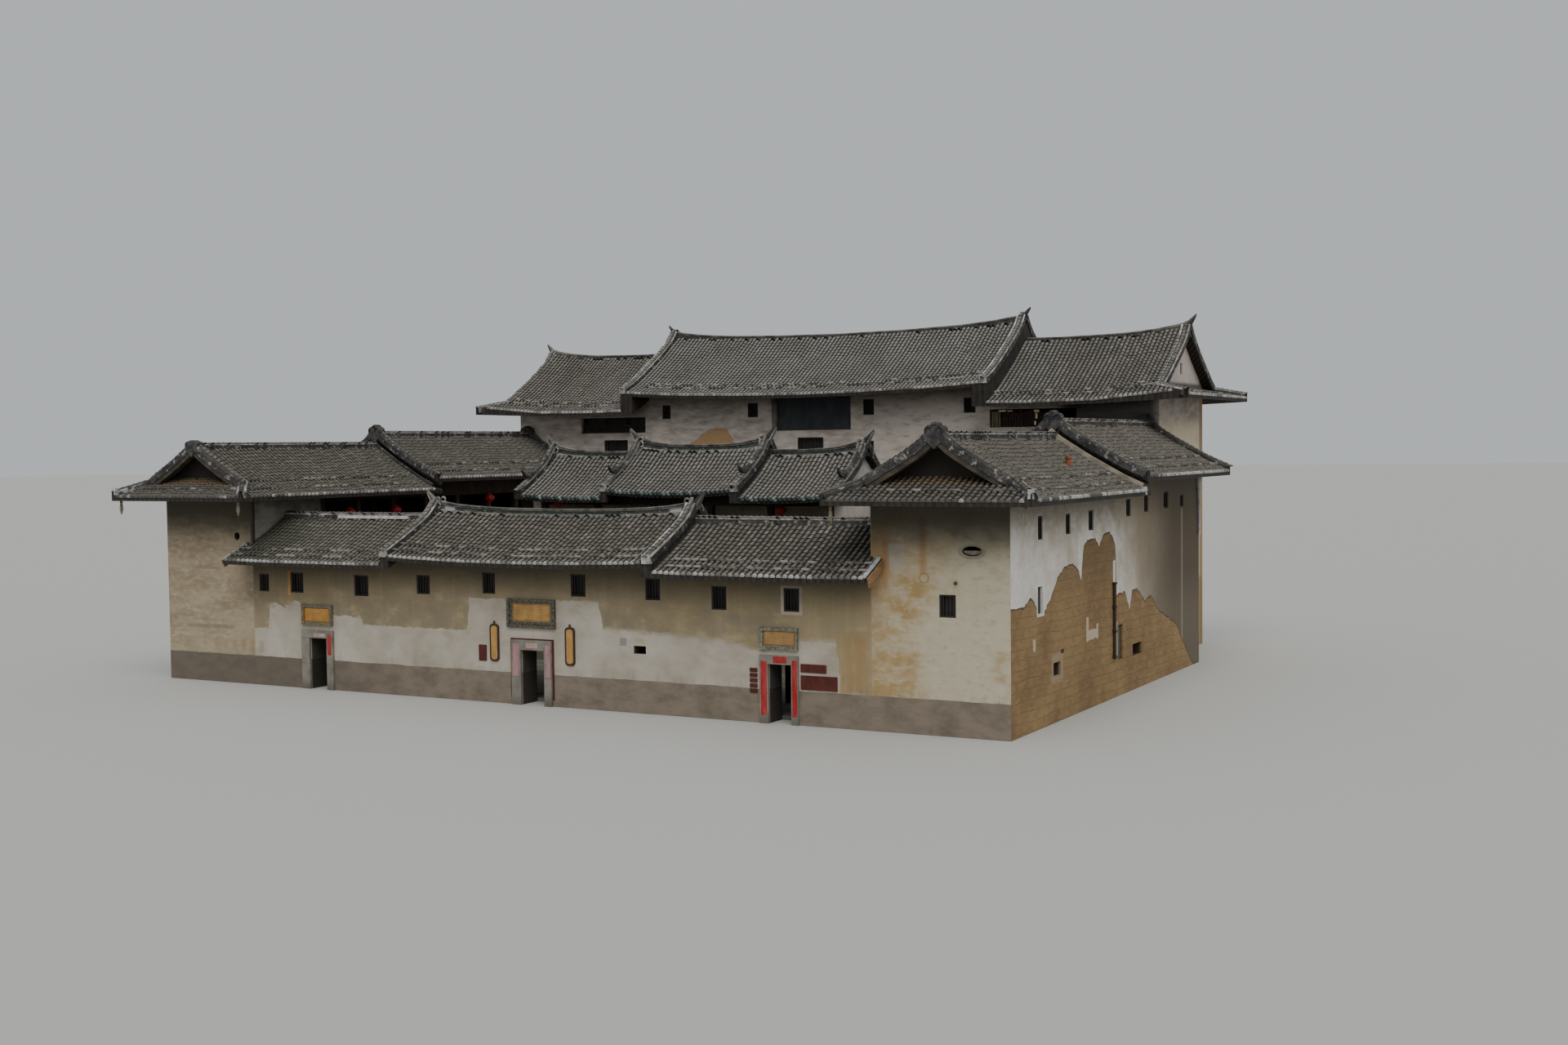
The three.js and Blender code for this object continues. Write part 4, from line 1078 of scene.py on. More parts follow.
def cross_verges(name, roof, x, line, reach, foot=None, flare=0.0):
    """The two halves of a verge that runs down both slopes at one end of a roof."""
    neck, neck_high = 1.1, 0.42
    for way in (-1, 1):
        spots = [(x, line + way * beside_ridge), (x, line + way * (foot or (reach - inset)))]
        if foot:
            spots.append((x + math.copysign(flare, x), line + way * (reach - inset)))
        ribs.setdefault(name, []).append([
            (across, y, z + neck_high * max(0.0, 1 - abs(y - line) / neck) ** 1.8)
            for across, y, z in over(roof, spots, spacing=0.2)])


for side in (-1, 1):
    cross_verges("hall_verges", "hall_centre_roof", side * 7.275, hall_line, hall_reach)
    cross_verges("middle_hall_verges", "middle_hall_centre_roof", side * 3.925, middle_line, middle_reach)
    word = "left" if side < 0 else "right"
    cross_verges("middle_hall_verges", f"middle_hall_{word}_roof", side * 9.525, middle_line, middle_reach)
    cross_verges("rear_verges", "rear_centre_roof", side * 11.775, rear_line, rear_reach)
    cross_verges("rear_verges", f"rear_{word}_roof", side * 21.325, rear_line, rear_reach, 5.2, 1.6)
    ribs.setdefault("hall_side_ridges", []).append(
        over(f"hall_{word}_roof", [(side * 17.05, hall_line), (side * 7.5, hall_line)]))
    name = word + "_wing_ridges"
    ridge_x, run_out = side * wing_line, wing_reach - inset
    hip_foot = [(ridge_x - run_out, -1.85), (ridge_x - 3.3, -0.625)]
    verge_paths = [over(word + "_wing_front_roof", hip_foot + [
        (ridge_x, -0.625), (ridge_x + 3.3, -0.625), (ridge_x + run_out, -1.85)], spacing=0.2)]
    for y in (12.775, 26.925):
        verge_paths.append(over(word + "_wing_rear_roof", [
            (ridge_x - run_out, y), (ridge_x, y), (ridge_x + run_out, y)], spacing=0.2))
    peaks = (0.1 if side < 0 else 0.3, 0.3, 0.3)
    ribs[name] = [[(across, y, z + peak * max(0.0, 1 - abs(across - ridge_x) / 0.9) ** 1.6)
                   for across, y, z in path] for peak, path in zip(peaks, verge_paths)]
    ribs[name].append(over(word + "_wing_front_roof", [(ridge_x, -0.6), (ridge_x, 12.55)]))
    ribs[name].append(over(word + "_wing_rear_roof", [(ridge_x, 12.75), (ridge_x, 26.95)]))

hump = [(-0.225, -0.33), (0.225, -0.33), (0.225, -0.05), (0.17, 0.015), (-0.17, 0.015), (-0.225, -0.05)]
lower_course = [(-0.19, -0.54), (0.19, -0.54), (0.19, -0.32), (-0.19, -0.32)]
bead = rod(0.045, 0.04, sides=6)
for name, paths in ribs.items():
    rib = Making()
    for path in paths:
        (x0, y0, _), (x1, y1, _) = path[0], path[-1]
        rib.run(mortar_finish, path, hump)
        verge_of_wing = "wing" in name and abs(x1 - x0) > 1
        edges = [-0.2] if verge_of_wing else [-0.2, 0.2]
        edge_look = coping_finish if "middle" in name else lime_line_finish
        bright = name == "rear_verges" or (name == "hall_verges" and x0 > 0)
        for edge in edges:
            to_left = edge * (y1 - y0) < 0
            if bright and to_left:
                rib.run(fresh_line_finish, path, [(a * 1.6 + edge, b * 1.5 - 0.02) for a, b in bead])
            else:
                rib.run(edge_look, path, [(a + edge, b - 0.02) for a, b in bead])
        if verge_of_wing and y0 < 0:
            upper_part = [spot for spot in path if abs(spot[0] - (x0 + x1) / 2) < 3.2]
            # The dark olive lower course stands for the shade under the verge: painted shade.
            rib.run(olive_shade_finish, upper_part, lower_course)
    rib.made(name, "ridge")
    strung(name + "_tiles", paths, rib_tile, 0.28, tile_finish, seed=len(name))


# The tall ridges: a bed of broken white mortar, a sunk band of glazed openwork, a thin
# string course and a rounded coping, all rising to a swallowtail horn at the free ends.
def glazed_band(place):
    cloud = place.noise(0.6, detail=5)
    dots = place.noise(0.09, (1, 1, 1.2), detail=2)
    x, y, z = place.parts()
    colour = cloud.fade(0.35, 0.7).mix("262d29", "454d45")
    colour = dots.fade(0.62, 0.72).mix(colour, "8f9a90")
    colour = (y.fade(30.0, 31.0) * 0.5).mix(colour, "4a4844")
    hall = y.fade(4.0, 3.9)
    colour = (hall * x.size().fade(5.98, 6.0)).mix(colour, "5d5a62")
    return (hall * x.size().within(6.1, 6.7, 0.01)).mix(colour, "a9a7a4"), 0.6, dots, 0.02


band_finish = finish("glazed_openwork", glazed_band)


def rosette(name, wide, high, deep):
    """One openwork tile, a diamond that stands off the band on both sides."""
    points = [(0, y * deep, z * high) for y in (-0.5, 0.5) for z in (-0.5, 0.5)]
    points += [(x * wide, y * deep, 0) for y in (-0.5, 0.5) for x in (-0.5, 0.5)]
    near, far = (0, 5, 1, 4), (2, 6, 3, 7)
    rim = [(near[i], near[(i + 1) % 4], far[(i + 1) % 4], far[i]) for i in range(4)]
    return loose_piece(name, points, [near, far] + rim)


def on_foot(node, x, y):
    """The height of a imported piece's underside over a place."""
    on_top(node, x, y)
    hit = tops[node].ray_cast(at(x, y, 0), Vector((0, 0, 1)))[0]
    return hit.z / half_size


def tall_ridge(node, line, end_from, end_to, courses_up):
    """One ridge in courses between its own foot and top, which grow slim past its two ends."""
    low_x, high_x = (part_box(node)[i].x / half_size for i in (0, 1))
    count, margin, horn_long = 60, 0.02, 0.55
    stations = [low_x + margin + (high_x - low_x - 2 * margin) * i / count for i in range(count + 1)]
    top = [on_top(node, x, line) for x in stations]
    foot = [on_foot(node, x, line) for x in stations]
    ridge = Making()
    for look, half, low, high, rounding in courses_up:
        points, faces = [], []
        for x, z0, z1 in zip(stations, foot, top):
            past = max(x - end_to, end_from - x, 0) / horn_long
            slim = 1 - 0.5 * min(past, 1.0) ** 1.3
            a, b = z0 + (z1 - z0) * low, z0 + (z1 - z0) * high
            shoulder = b - (b - a) * 0.4 * rounding
            w, crown = half * slim, half * slim * (1 - 0.45 * rounding)
            points += [(x, line - w, a), (x, line - w, shoulder), (x, line - crown, b),
                       (x, line + crown, b), (x, line + w, shoulder), (x, line + w, a)]
        for i in range(count):
            faces += [(i * 6 + j, i * 6 + (j + 1) % 6, (i + 1) * 6 + (j + 1) % 6, (i + 1) * 6 + j)
                      for j in range(6)]
        faces += [tuple(range(6))[::-1], tuple(range(count * 6, count * 6 + 6))]
        ridge.form(look, points, faces)
    ridge.made(node + "_wall", "ridge", node)
    return stations, foot, top


openwork = rosette("openwork_tile", wide=0.16, high=0.15, deep=0.27)
# Each course has its finish, its half width, its foot and top as shares of the ridge's
# height, and whether its shoulders are rounded.
tall_courses = ((lime_line_finish, 0.17, 0.0, 0.26, 0), (band_finish, 0.11, 0.2, 0.74, 0),
                (coping_finish, 0.165, 0.68, 0.78, 0), (coping_finish, 0.13, 0.74, 0.88, 0),
                (coping_finish, 0.17, 0.86, 1.0, 1))
thin_courses = ((mortar_finish, 0.15, 0.0, 0.5, 0), (coping_finish, 0.12, 0.4, 0.75, 0),
                (coping_finish, 0.16, 0.7, 1.0, 1))
bands = []
for node, line, start, end, courses_up in (
    ("hall_ridge", hall_line, -7.3, 7.3, tall_courses),
    ("middle_hall_centre_ridge", middle_line, -3.95, 3.95, tall_courses),
    ("middle_hall_left_ridge", middle_line, -9.5, -4.2, tall_courses),
    ("middle_hall_right_ridge", middle_line, 4.2, 9.5, tall_courses),
    ("rear_centre_ridge", rear_line, -11.7, 11.7, thin_courses),
    ("rear_left_ridge", rear_line, -21.3, -12.05, thin_courses),
    ("rear_right_ridge", rear_line, 12.05, 21.3, thin_courses),
):
    places = tall_ridge(node, line, start, end, courses_up)
    if courses_up is tall_courses:
        bare_end, band_middle = 1.3 if node == "hall_ridge" else 0.0, 0.47
        bands.append([(x, line, a + (b - a) * band_middle) for x, a, b in zip(*places)
                      if start + bare_end < x < end - bare_end])
strung("ridge_openwork", bands, openwork, 0.19, glaze_finish, turn=0.03, seed=5)


# Door surrounds of dressed grey granite: two jambs and a lintel, with joints a hand's
# breadth above and below the lintel and a soft polish where hands and rain pass.
def dressed_stone(place):
    x, y, z = place.parts()
    speck = place.noise(0.03, detail=2)
    cloud = place.noise(0.7, detail=5)
    colour = (cloud * 0.7 + speck * 0.4).fade(0.4, 0.75).mix("8d877b", "6a655b")
    joints = patches_at(x.size(), z, ((0.0, 20.0, 2.48, 2.5), (0.0, 20.0, 1.25, 1.262)), 0.008)
    colour = (joints * 0.7).mix(colour, "3b372f")
    foot = (z + (cloud - 0.5) * 0.5).fade(0.7, 0.0)
    return (foot * 0.6).mix(colour, "4f4a41"), 0.78, speck * 0.3 - joints, 0.008


coat(finish("dressed_granite", dressed_stone), "left_door_surround", "centre_door_surround",
     "right_door_surround")

# Name boards over the doors: a gold lacquered panel in a raised rim, of carved dark stone
# in the centre and painted grey-green at the sides. The panels are bare.
panels = {"left": (-13.71, -12.03, 3.28, 3.99), "centre": (-0.94, 1.16, 3.8, 4.61),
          "right": (12.12, 13.65, 3.27, 3.92)}


def board_look(panel, rim_dark, rim_light, gold_dark, gold_light):
    """The look of one name board, whose panel is (left, right, low, high)."""
    def shrunk(by, soft):
        """The panel without a margin, and how soft its edge is."""
        x0, x1, z0, z1 = panel
        return ((x0 + by, x1 - by, z0 + by, z1 - by),), soft

    def look(place):
        x, y, z = place.parts()
        inner = patches_at(x, z, *shrunk(0, 0.006))
        ground = place.noise(0.5, (1, 1, 0.5), detail=5)
        brushed = place.noise(0.035, (0.05, 1, 1), detail=3)
        gold = (ground * 0.7 + brushed * 0.4).fade(0.35, 0.75).mix(gold_light, gold_dark)
        fillet = patches_at(x, z, *shrunk(0.02, 0.004)) * (1 - patches_at(x, z, *shrunk(0.05, 0.006)))
        gold = (fillet * 0.75).mix(gold, "3a2814")
        carved = place.noise(0.09, detail=3)
        rim = carved.fade(0.35, 0.65).mix(rim_dark, rim_light)
        relief = brushed * 0.1 * inner + carved * (1 - inner) * 0.8
        return inner.mix(rim, gold), 0.55, relief, 0.02
    return look


for part, tones in (("left", ("4f4c3c", "7a755e", "a06f2c", "c39146")),
                    ("centre", ("3a372f", "66604f", "966d36", "be9655")),
                    ("right", ("55564c", "8a8877", "8a6739", "ab8552"))):
    coat(finish(part + "_board_lacquer", board_look(panels[part], *tones)), part + "_name_board")


# Verse boards beside the centre door: ochre panels with rounded ends in a dark brown rim,
# each hung from a small turned knob. They are bare.
def ochre_lacquer(place):
    brushed = place.noise(0.04, (1, 1, 0.08), detail=3)
    colour = (brushed * 0.6 + place.noise(0.5) * 0.5).fade(0.35, 0.75).mix("c79a58", "a5783a")
    return colour, 0.6, brushed, 0.004


ochre_finish = finish("ochre_lacquer", ochre_lacquer)
brown_finish = finish("brown_lacquer", grained(
    "2b1b13", "44291b", 0.04, (1, 1, 0.2), detail=3, limits=(0.3, 0.7), rough=0.5, depth=0.004))


def rounded(x0, x1, z0, z1, corner, steps=4):
    """The outline of a board with rounded corners."""
    outline = []
    for cx, cz, turn in ((x1 - corner, z0 + corner, -0.5), (x1 - corner, z1 - corner, 0.0),
                         (x0 + corner, z1 - corner, 0.5), (x0 + corner, z0 + corner, 1.0)):
        outline += [(cx + corner * math.cos(math.pi * (turn + 0.5 * i / steps)),
                     cz + corner * math.sin(math.pi * (turn + 0.5 * i / steps))) for i in range(steps + 1)]
    return outline


def plate(making, look, outline, back, face):
    """A flat board of an outline, between two depths."""
    count = len(outline)
    points = [(x, y, z) for y in (back, face) for x, z in outline]
    faces = [tuple(range(count)), tuple(range(count, 2 * count))[::-1]]
    faces += [(i, (i + 1) % count, count + (i + 1) % count, count + i) for i in range(count)]
    making.form(look, points, faces)


def turned(*sizes):
    """How wide a turned or flared piece is, from one end of its path to the other."""
    return lambda share: sizes[round(share * (len(sizes) - 1))]


for word, x0, x1 in (("left", -2.29, -1.77), ("right", 1.93, 2.46)):
    verse = Making()
    low, high, rim = 1.9, 3.62, 0.09
    plate(verse, brown_finish, rounded(x0, x1, low, high, 0.17), -0.004, -0.06)
    plate(verse, ochre_finish, rounded(x0 + rim, x1 - rim, low + rim, high - rim, 0.12), -0.05, -0.072)
    knob = [((x0 + x1) / 2, -0.04, high + up) for up in (-0.02, 0.04, 0.08, 0.14)]
    verse.run(brown_finish, knob, rod(0.07, 0.03), turned(1.3, 0.7, 1.0, 0.4))
    verse.made(f"{word}_verse_panel", "board", "verse_board_" + word)


# Papers and small plates at the doors: strips of red and faded pink paper pasted on the
# jambs and lintels, and dark red painted boards on the wall. All are bare.
def faded_paper(base, worn):
    """The look of pasted paper or thin paint, creased and faded from its base colour."""
    def look(place):
        crease = place.noise(0.25, (1, 1, 0.3), detail=4)
        colour = (crease * 0.8 + place.noise(0.06) * 0.3).fade(0.4, 0.75).mix(base, worn)
        return colour, 0.85, crease, 0.006
    return look


red_paper = finish("red_paper", faded_paper("9c191b", "b5423e"))
pink_paper = finish("pink_paper", faded_paper("9c6d75", "b4928f"))
white_paper = finish("white_paper", faded_paper("b9a39b", "a87a78"))
red_board = finish("dark_red_board", faded_paper("4a1913", "612a20"))
stone_face = -0.1205
papers = Making()
for look, x0, x1, z0, z1 in (
    (red_paper, 12.0, 12.29, 0.35, 2.62), (red_paper, 13.49, 13.73, 0.35, 2.7),
    (red_paper, 12.6, 13.24, 2.56, 2.84), (pink_paper, -0.93, -0.6, 1.3, 2.78),
    (pink_paper, 0.88, 1.14, 1.3, 2.76), (white_paper, -0.2, 0.45, 2.6, 2.84),
    (red_paper, -12.15, -11.93, 1.7, 2.72), (white_paper, -13.05, -12.3, 2.57, 2.74),
):
    plate(papers, look, rounded(x0, x1, z0, z1, 0.01, 1), stone_face, stone_face - 0.0075)
papers.made("door_papers", "board")

plates = Making()
small_plates = [(11.42, 11.78, 1.24 + i * 0.22, 1.41 + i * 0.22) for i in range(5)]
for x0, x1, z0, z1 in [(-2.95, -2.51, 1.89, 2.63), (13.85, 15.04, 2.22, 2.57),
                       (13.85, 15.55, 1.5, 2.1)] + small_plates:
    plate(plates, red_board, rounded(x0, x1, z0, z1, 0.02, 1), -0.002, -0.035)
for x0, x1, z0, z1 in ((-1.12, 1.29, 2.97, 3.02), (-1.12, -1.03, 0.3, 2.97), (1.2, 1.29, 0.3, 2.97)):
    plate(plates, red_board, rounded(x0, x1, z0, z1, 0.005, 1), -0.002, -0.03)
plates.made("wall_plates", "board")

# Windows of the front: each hole has a frame of dark timber with four upright bars, and
# board shutters that stand shut behind them.
shut_finish = finish("shut_boards", grained(
    "282523", "3c3835", 0.06, (1, 1, 0.05), rough=0.8, depth=0.006))
bar_section = rod(0.028, sides=6)


def barred(making, x0, x1, z0, z1, face, out, bars=4, axis=0):
    """A frame with bars in a window of a wall; out is the way that the wall faces."""
    def spot(across, depth, z):
        return (across, face - out * depth, z) if axis == 0 else (face - out * depth, across, z)

    def beam(a0, a1, d0, d1, b0, b1):
        p, q = spot(a0, d0, b0), spot(a1, d1, b1)
        making.box(shut_finish, [min(c) for c in zip(p, q)], [max(c) for c in zip(p, q)])

    rim, gap, near, far, bar_depth, bar_end, leaves = 0.06, 0.004, 0.05, 0.17, 0.11, 0.01, 2
    x0, x1, z0, z1 = x0 + gap, x1 - gap, z0 + gap, z1 - gap
    beam(x0, x0 + rim, near, far, z0, z1)
    beam(x1 - rim, x1, near, far, z0, z1)
    beam(x0 + rim, x1 - rim, near, far, z0, z0 + rim)
    beam(x0 + rim, x1 - rim, near, far, z1 - rim, z1)
    for i in range(bars):
        across = x0 + rim + (x1 - x0 - 2 * rim) * (i + 0.5) / bars
        upright = [spot(across, bar_depth, z) for z in (z0 + rim - bar_end, z1 - rim + bar_end)]
        making.run(shut_finish, upright, bar_section)
    for i in range(leaves):
        a = x0 + (x1 - x0) * i / leaves
        beam(a + gap, a + (x1 - x0) / leaves - gap, 0.3, 0.34, z0, z1)


front_windows = [(-16.7, -16.05, 4.68, 5.56), (-14.6, -13.76, 4.68, 5.68), (-10.47, -9.58, 4.64, 5.65),
                 (-6.6, -5.8, 4.85, 5.75), (-2.7, -1.97, 4.99, 5.97), (2.26, 3.06, 5.01, 6.01),
                 (6.22, 6.98, 4.98, 5.93), (9.57, 10.31, 4.68, 5.69), (13.07, 13.8, 4.72, 5.7),
                 (20.09, 20.81, 4.73, 5.64)]
windows = Making()
for x0, x1, z0, z1 in front_windows:
    barred(windows, x0, x1, z0, z1, 0, -1)
windows.made("front_windows", "timber")


# Windows of the rear building and slots of the side walls: the same frames, bars and shut
# boards, fewer bars in the narrow slots. A low door in each side wall has a green leaf.
rear_windows = Making()
for x0, x1, z0, z1 in [
        (-10.15, -9.55, 13.35, 14.2), (-4.09, -3.39, 13.35, 14.2), (3.59, 4.28, 13.35, 14.25),
        (9.85, 10.56, 13.35, 14.2), (3.7, 4.25, 10.88, 11.85), (-14.2, -13.4, 7.4, 8.2),
        (-7.4, -6.6, 7.4, 8.2), (6.6, 7.4, 7.4, 8.2), (13.4, 14.2, 7.4, 8.2),
        (-14.49, -12.73, 11.2, 12.1), (-0.73, 0.98, 11.2, 12.1), (12.99, 14.28, 11.2, 12.1)]:
    barred(rear_windows, x0, x1, z0, z1, rear_front, -1, bars=3 if x1 - x0 < 1 else 8)
rear_windows.made("rear_front_windows", "timber")

back_windows = Making()
back_half = 0.35
for x in (-17.5, -14, -7, -3.5, 3.5, 7, 14, 17.5):
    for z0, z1 in ((7.4, 8.2), (10.6, 11.5), (13.1, 13.9)):
        barred(back_windows, x - back_half, x + back_half, z0, z1, rear_back, 1, bars=3)
back_windows.made("rear_back_windows", "timber")

leaf_finish = finish("green_door_leaf", grained(
    "4a5044", "6a6f60", 0.06, (1, 1, 0.05), rough=0.8, depth=0.006))
slot_boards = Making()
for y0, y1, z0, z1 in [
        (3.08, 3.64, 7.69, 8.65), (6.4, 7.01, 7.75, 8.61), (9.35, 10.0, 7.77, 8.64),
        (14.68, 15.36, 8.16, 8.97), (17.47, 18.13, 8.26, 9.08), (20.71, 21.49, 8.32, 9.14),
        (23.59, 24.19, 8.3, 8.9)]:
    for side in (-1, 1):
        barred(slot_boards, y0, y1, z0, z1, side * wall_face, side, bars=2, axis=1)
for side in (-1, 1):
    near, far = sorted((side * 22.96, side * 22.99))
    slot_boards.box(shut_finish, (near, 3.04, 4.69), (far, 3.59, 5.78))
    near, far = sorted((side * 22.9, side * 22.96))
    slot_boards.box(leaf_finish, (near, 13.35, 1.67), (far, 14.12, 3.24))
slot_boards.made("side_slot_bars", "timber")


# Galleries under the rear eaves: a rail on turned-down boards across each opening, and at
# the right a screen of upright boards, some of them pale new wood.
def sawn_board(pale, dark):
    """The look of thin upright boards."""
    def look(place):
        grain = place.noise(0.03, (1, 1, 0.05), detail=4)
        return (grain * 0.8 + place.noise(0.4) * 0.4).fade(0.4, 0.85).mix(pale, dark), 0.7, grain, 0.005
    return look


pale_board_finish = finish("pale_board", sawn_board("8b8264", "5e5540"))
red_wood_finish = finish("red_wood", sawn_board("55281a", "2d1710"))
night_finish = finish("gallery_shade", grained("3b3f43", "4b4e50", 0.5, (1, 1, 0.4), detail=3, rough=0.85))
glow_finish = finish("lit_gap", lambda place: ("fff0c4", 0.6, None, 0))
draw = random.Random(11)
galleries = Making()
galleries.box(night_finish, (-2.4, 27.7, 12.54), (2.72, 27.75, 14.6))
# A dark board behind the left gallery's rail stands for the shade in that opening: painted shade.
galleries.box(shut_finish, (-16.2, 27.5, 12.55), (-11.44, 27.55, 13.48))
rail_front, rail_back, board_pitch = 27.2, 27.32, 0.17
for x0, x1, z0, z1 in ((-16.2, -11.44, 12.55, 13.48), (11.44, 16.42, 12.51, 13.48)):
    galleries.box(timber_finish, (x0, rail_front, z0 + 0.42), (x1, rail_back, z0 + 0.5))
    galleries.box(timber_finish, (x0, rail_front, z0), (x1, rail_back, z0 + 0.07))
    for i in range(int((x1 - x0) / board_pitch)):
        left = x0 + i * board_pitch + 0.02
        galleries.box(timber_finish, (left, 27.235, z0 + 0.06), (left + 0.11, 27.265, z0 + 0.43))
    for share in (0.0, 0.33, 0.66, 0.975):
        post_x = x0 + (x1 - x0) * share
        galleries.box(timber_finish, (post_x, 27.34, z0), (post_x + 0.13, 27.47, z1))
screen_boards, new_boards = 27, 4
for i in range(screen_boards):
    left = 11.5 + i * 0.14
    look, depth = (pale_board_finish, 27.16) if i < new_boards else (red_wood_finish, 27.3)
    right_edge = left + draw.uniform(0.09, 0.125)
    galleries.box(look, (left, depth, 12.53), (right_edge, depth + 0.03, 13.3 + draw.uniform(0.0, 0.15)))
for x0, x1, z0, z1 in ((11.95, 12.35, 13.36, 13.45), (12.45, 12.75, 13.37, 13.44),
                       (14.0, 14.3, 13.3, 13.44), (14.08, 14.2, 12.95, 13.25),
                       (14.02, 14.12, 12.62, 12.82), (14.42, 14.5, 12.65, 12.8)):
    galleries.box(glow_finish, (x0, rear_front, z0), (x1, rear_front + 0.03, z1))
galleries.made("rear_gallery_rails", "timber")


# Lanterns of red silk stretched over wire hoops, with brass caps and a tassel, each hung on
# a rod from the beams of the galleries and the middle hall.
def red_silk(place):
    cloth = place.noise(0.2, detail=3)
    colour = (cloth * 0.6 + place.noise(0.9) * 0.4).fade(0.35, 0.7).mix("b02319", "8a1712")
    return colour, 0.55, cloth, 0.01


silk_finish = finish("red_silk", red_silk)
brass_finish = finish("old_brass", grained("8a6a35", "5c4422", 0.05, detail=3, rough=0.5))


def hang_lantern(making, x, y, z, hook, wide=0.3, high=0.24):
    """A pleated lantern about a centre, on a rod from its hook height."""
    turns, rings = 24, 8
    points = []
    for r in range(rings + 1):
        angle = math.pi * (0.09 + 0.82 * r / rings)
        for t in range(turns):
            pleat = 1 - 0.05 * (t % 2)
            a = 2 * math.pi * t / turns
            points.append((x + math.sin(angle) * wide * pleat * math.cos(a),
                           y + math.sin(angle) * wide * pleat * math.sin(a), z - math.cos(angle) * high))
    faces = []
    for r in range(rings):
        low, up = r * turns, (r + 1) * turns
        faces += [(low + t, low + (t + 1) % turns, up + (t + 1) % turns, up + t) for t in range(turns)]
    faces += [tuple(range(turns))[::-1], tuple(range(rings * turns, (rings + 1) * turns))]
    making.form(silk_finish, points, faces)
    for low, up in ((z + high * 0.93, z + high * 1.12), (z - high * 1.12, z - high * 0.93)):
        making.run(brass_finish, [(x, y, low), (x, y, up)], rod(0.1, sides=10))
    making.run(brass_finish, [(x, y, z + high * 1.1), (x, y, hook)], rod(0.008, sides=10))
    making.run(silk_finish, [(x, y, z - high * drop) for drop in (1.1, 1.5, 2.4)], rod(0.045, sides=10),
               lambda share: 0.5 + share * 0.6)


lanterns = Making()
for x, y, z, hook in ((-16.9, 6.8, 8.35, 9.2), (-16.9, 10.4, 8.35, 9.2), (-16.9, 18.6, 8.75, 9.5),
                      (-7.55, 12.7, 8.7, 9.2), (6.0, 12.7, 8.4, 9.2), (16.9, 6.8, 8.35, 9.2),
                      (16.9, 10.4, 8.35, 9.2), (16.9, 18.6, 8.75, 9.5)):
    hang_lantern(lanterns, x, y, z, hook)
lanterns.made("gallery_lanterns", "board")

# Apexes of the wings' verges: a dark bun of mortar sits on the peak of each, with curled
# lobes drawn on both of its faces; the bun on the left front roof is lower and has no lobes.
dark_mortar_finish = finish("dark_mortar", grained("2b2a2a", "52504e", 0.3, detail=5, depth=0.03))
apexes = Making()
bun = [(-0.42, -0.2), (-0.42, 0.12), (-0.36, 0.26), (-0.25, 0.34), (-0.16, 0.33), (-0.1, 0.42), (0.04, 0.46),
       (0.16, 0.4), (0.2, 0.31), (0.3, 0.32), (0.4, 0.22), (0.44, 0.08), (0.42, -0.2), (0.0, -0.62)]
tube = rod(0.045, sides=6)
lobes = ((-0.22, 0.12, 0.15), (0.22, 0.12, 0.15), (0.02, 0.26, 0.13))
for side in (-1, 1):
    for roof, y in (("front", -0.625), ("rear", 12.775), ("rear", 26.925)):
        name = ("left" if side < 0 else "right") + f"_wing_{roof}_roof"
        crest = on_top(name, side * wing_line, y)
        middle = side * wing_line
        high = 0.5 if side < 0 and roof == "front" else 1.0
        outline = [(middle + a, crest + b * (high if b > 0 else 1)) for a, b in bun[::-1]]
        plate(apexes, dark_mortar_finish, outline, y + 0.19, y - 0.24)
        for across, height, size in lobes if high == 1.0 else ():
            for face in (y - 0.25, y + 0.2):
                turns = [math.pi * (-0.15 + 1.3 * i / 8) for i in range(9)]
                lobe = [(middle + across + math.cos(a) * size, face, crest + height + math.sin(a) * size)
                        for a in turns]
                apexes.run(dark_mortar_finish, lobe, tube)
apexes.made("wing_apex_caps", "ridge")

# Verges of the middle hall carry a second smaller course that stops part of the way down
# in an upturned hook.
hooks = Making()
tier = [(-0.1, -0.04), (0.1, -0.04), (0.1, 0.1), (0.05, 0.15), (-0.05, 0.15), (-0.1, 0.1)]
leaf = [(-0.13, -0.05), (0.13, -0.05), (0.13, 0.12), (0.06, 0.19), (-0.06, 0.19), (-0.13, 0.12)]
for x, roof in ((-9.525, "middle_hall_left_roof"), (-3.925, "middle_hall_centre_roof"),
                (3.925, "middle_hall_centre_roof"), (9.525, "middle_hall_right_roof")):
    for way in (-1, 1):
        slope_path = over(roof, [(x, middle_line + way * 0.28), (x, middle_line + way * 2.25)], lift=0.02)
        hooks.run(mortar_finish, slope_path, tier)
        end = Vector(slope_path[-1])
        curl = [end + Vector((0, way * (-0.1 + 0.9 * s), 0.08 - 0.48 * s * (1 - s) + 0.3 * s ** 3))
                for s in (i / 8 for i in range(9))]
        hooks.run(mortar_finish, curl, leaf, lambda share: 1.3 - 1.0 * share ** 1.5)
hooks.made("middle_hall_verge_hooks", "ridge")

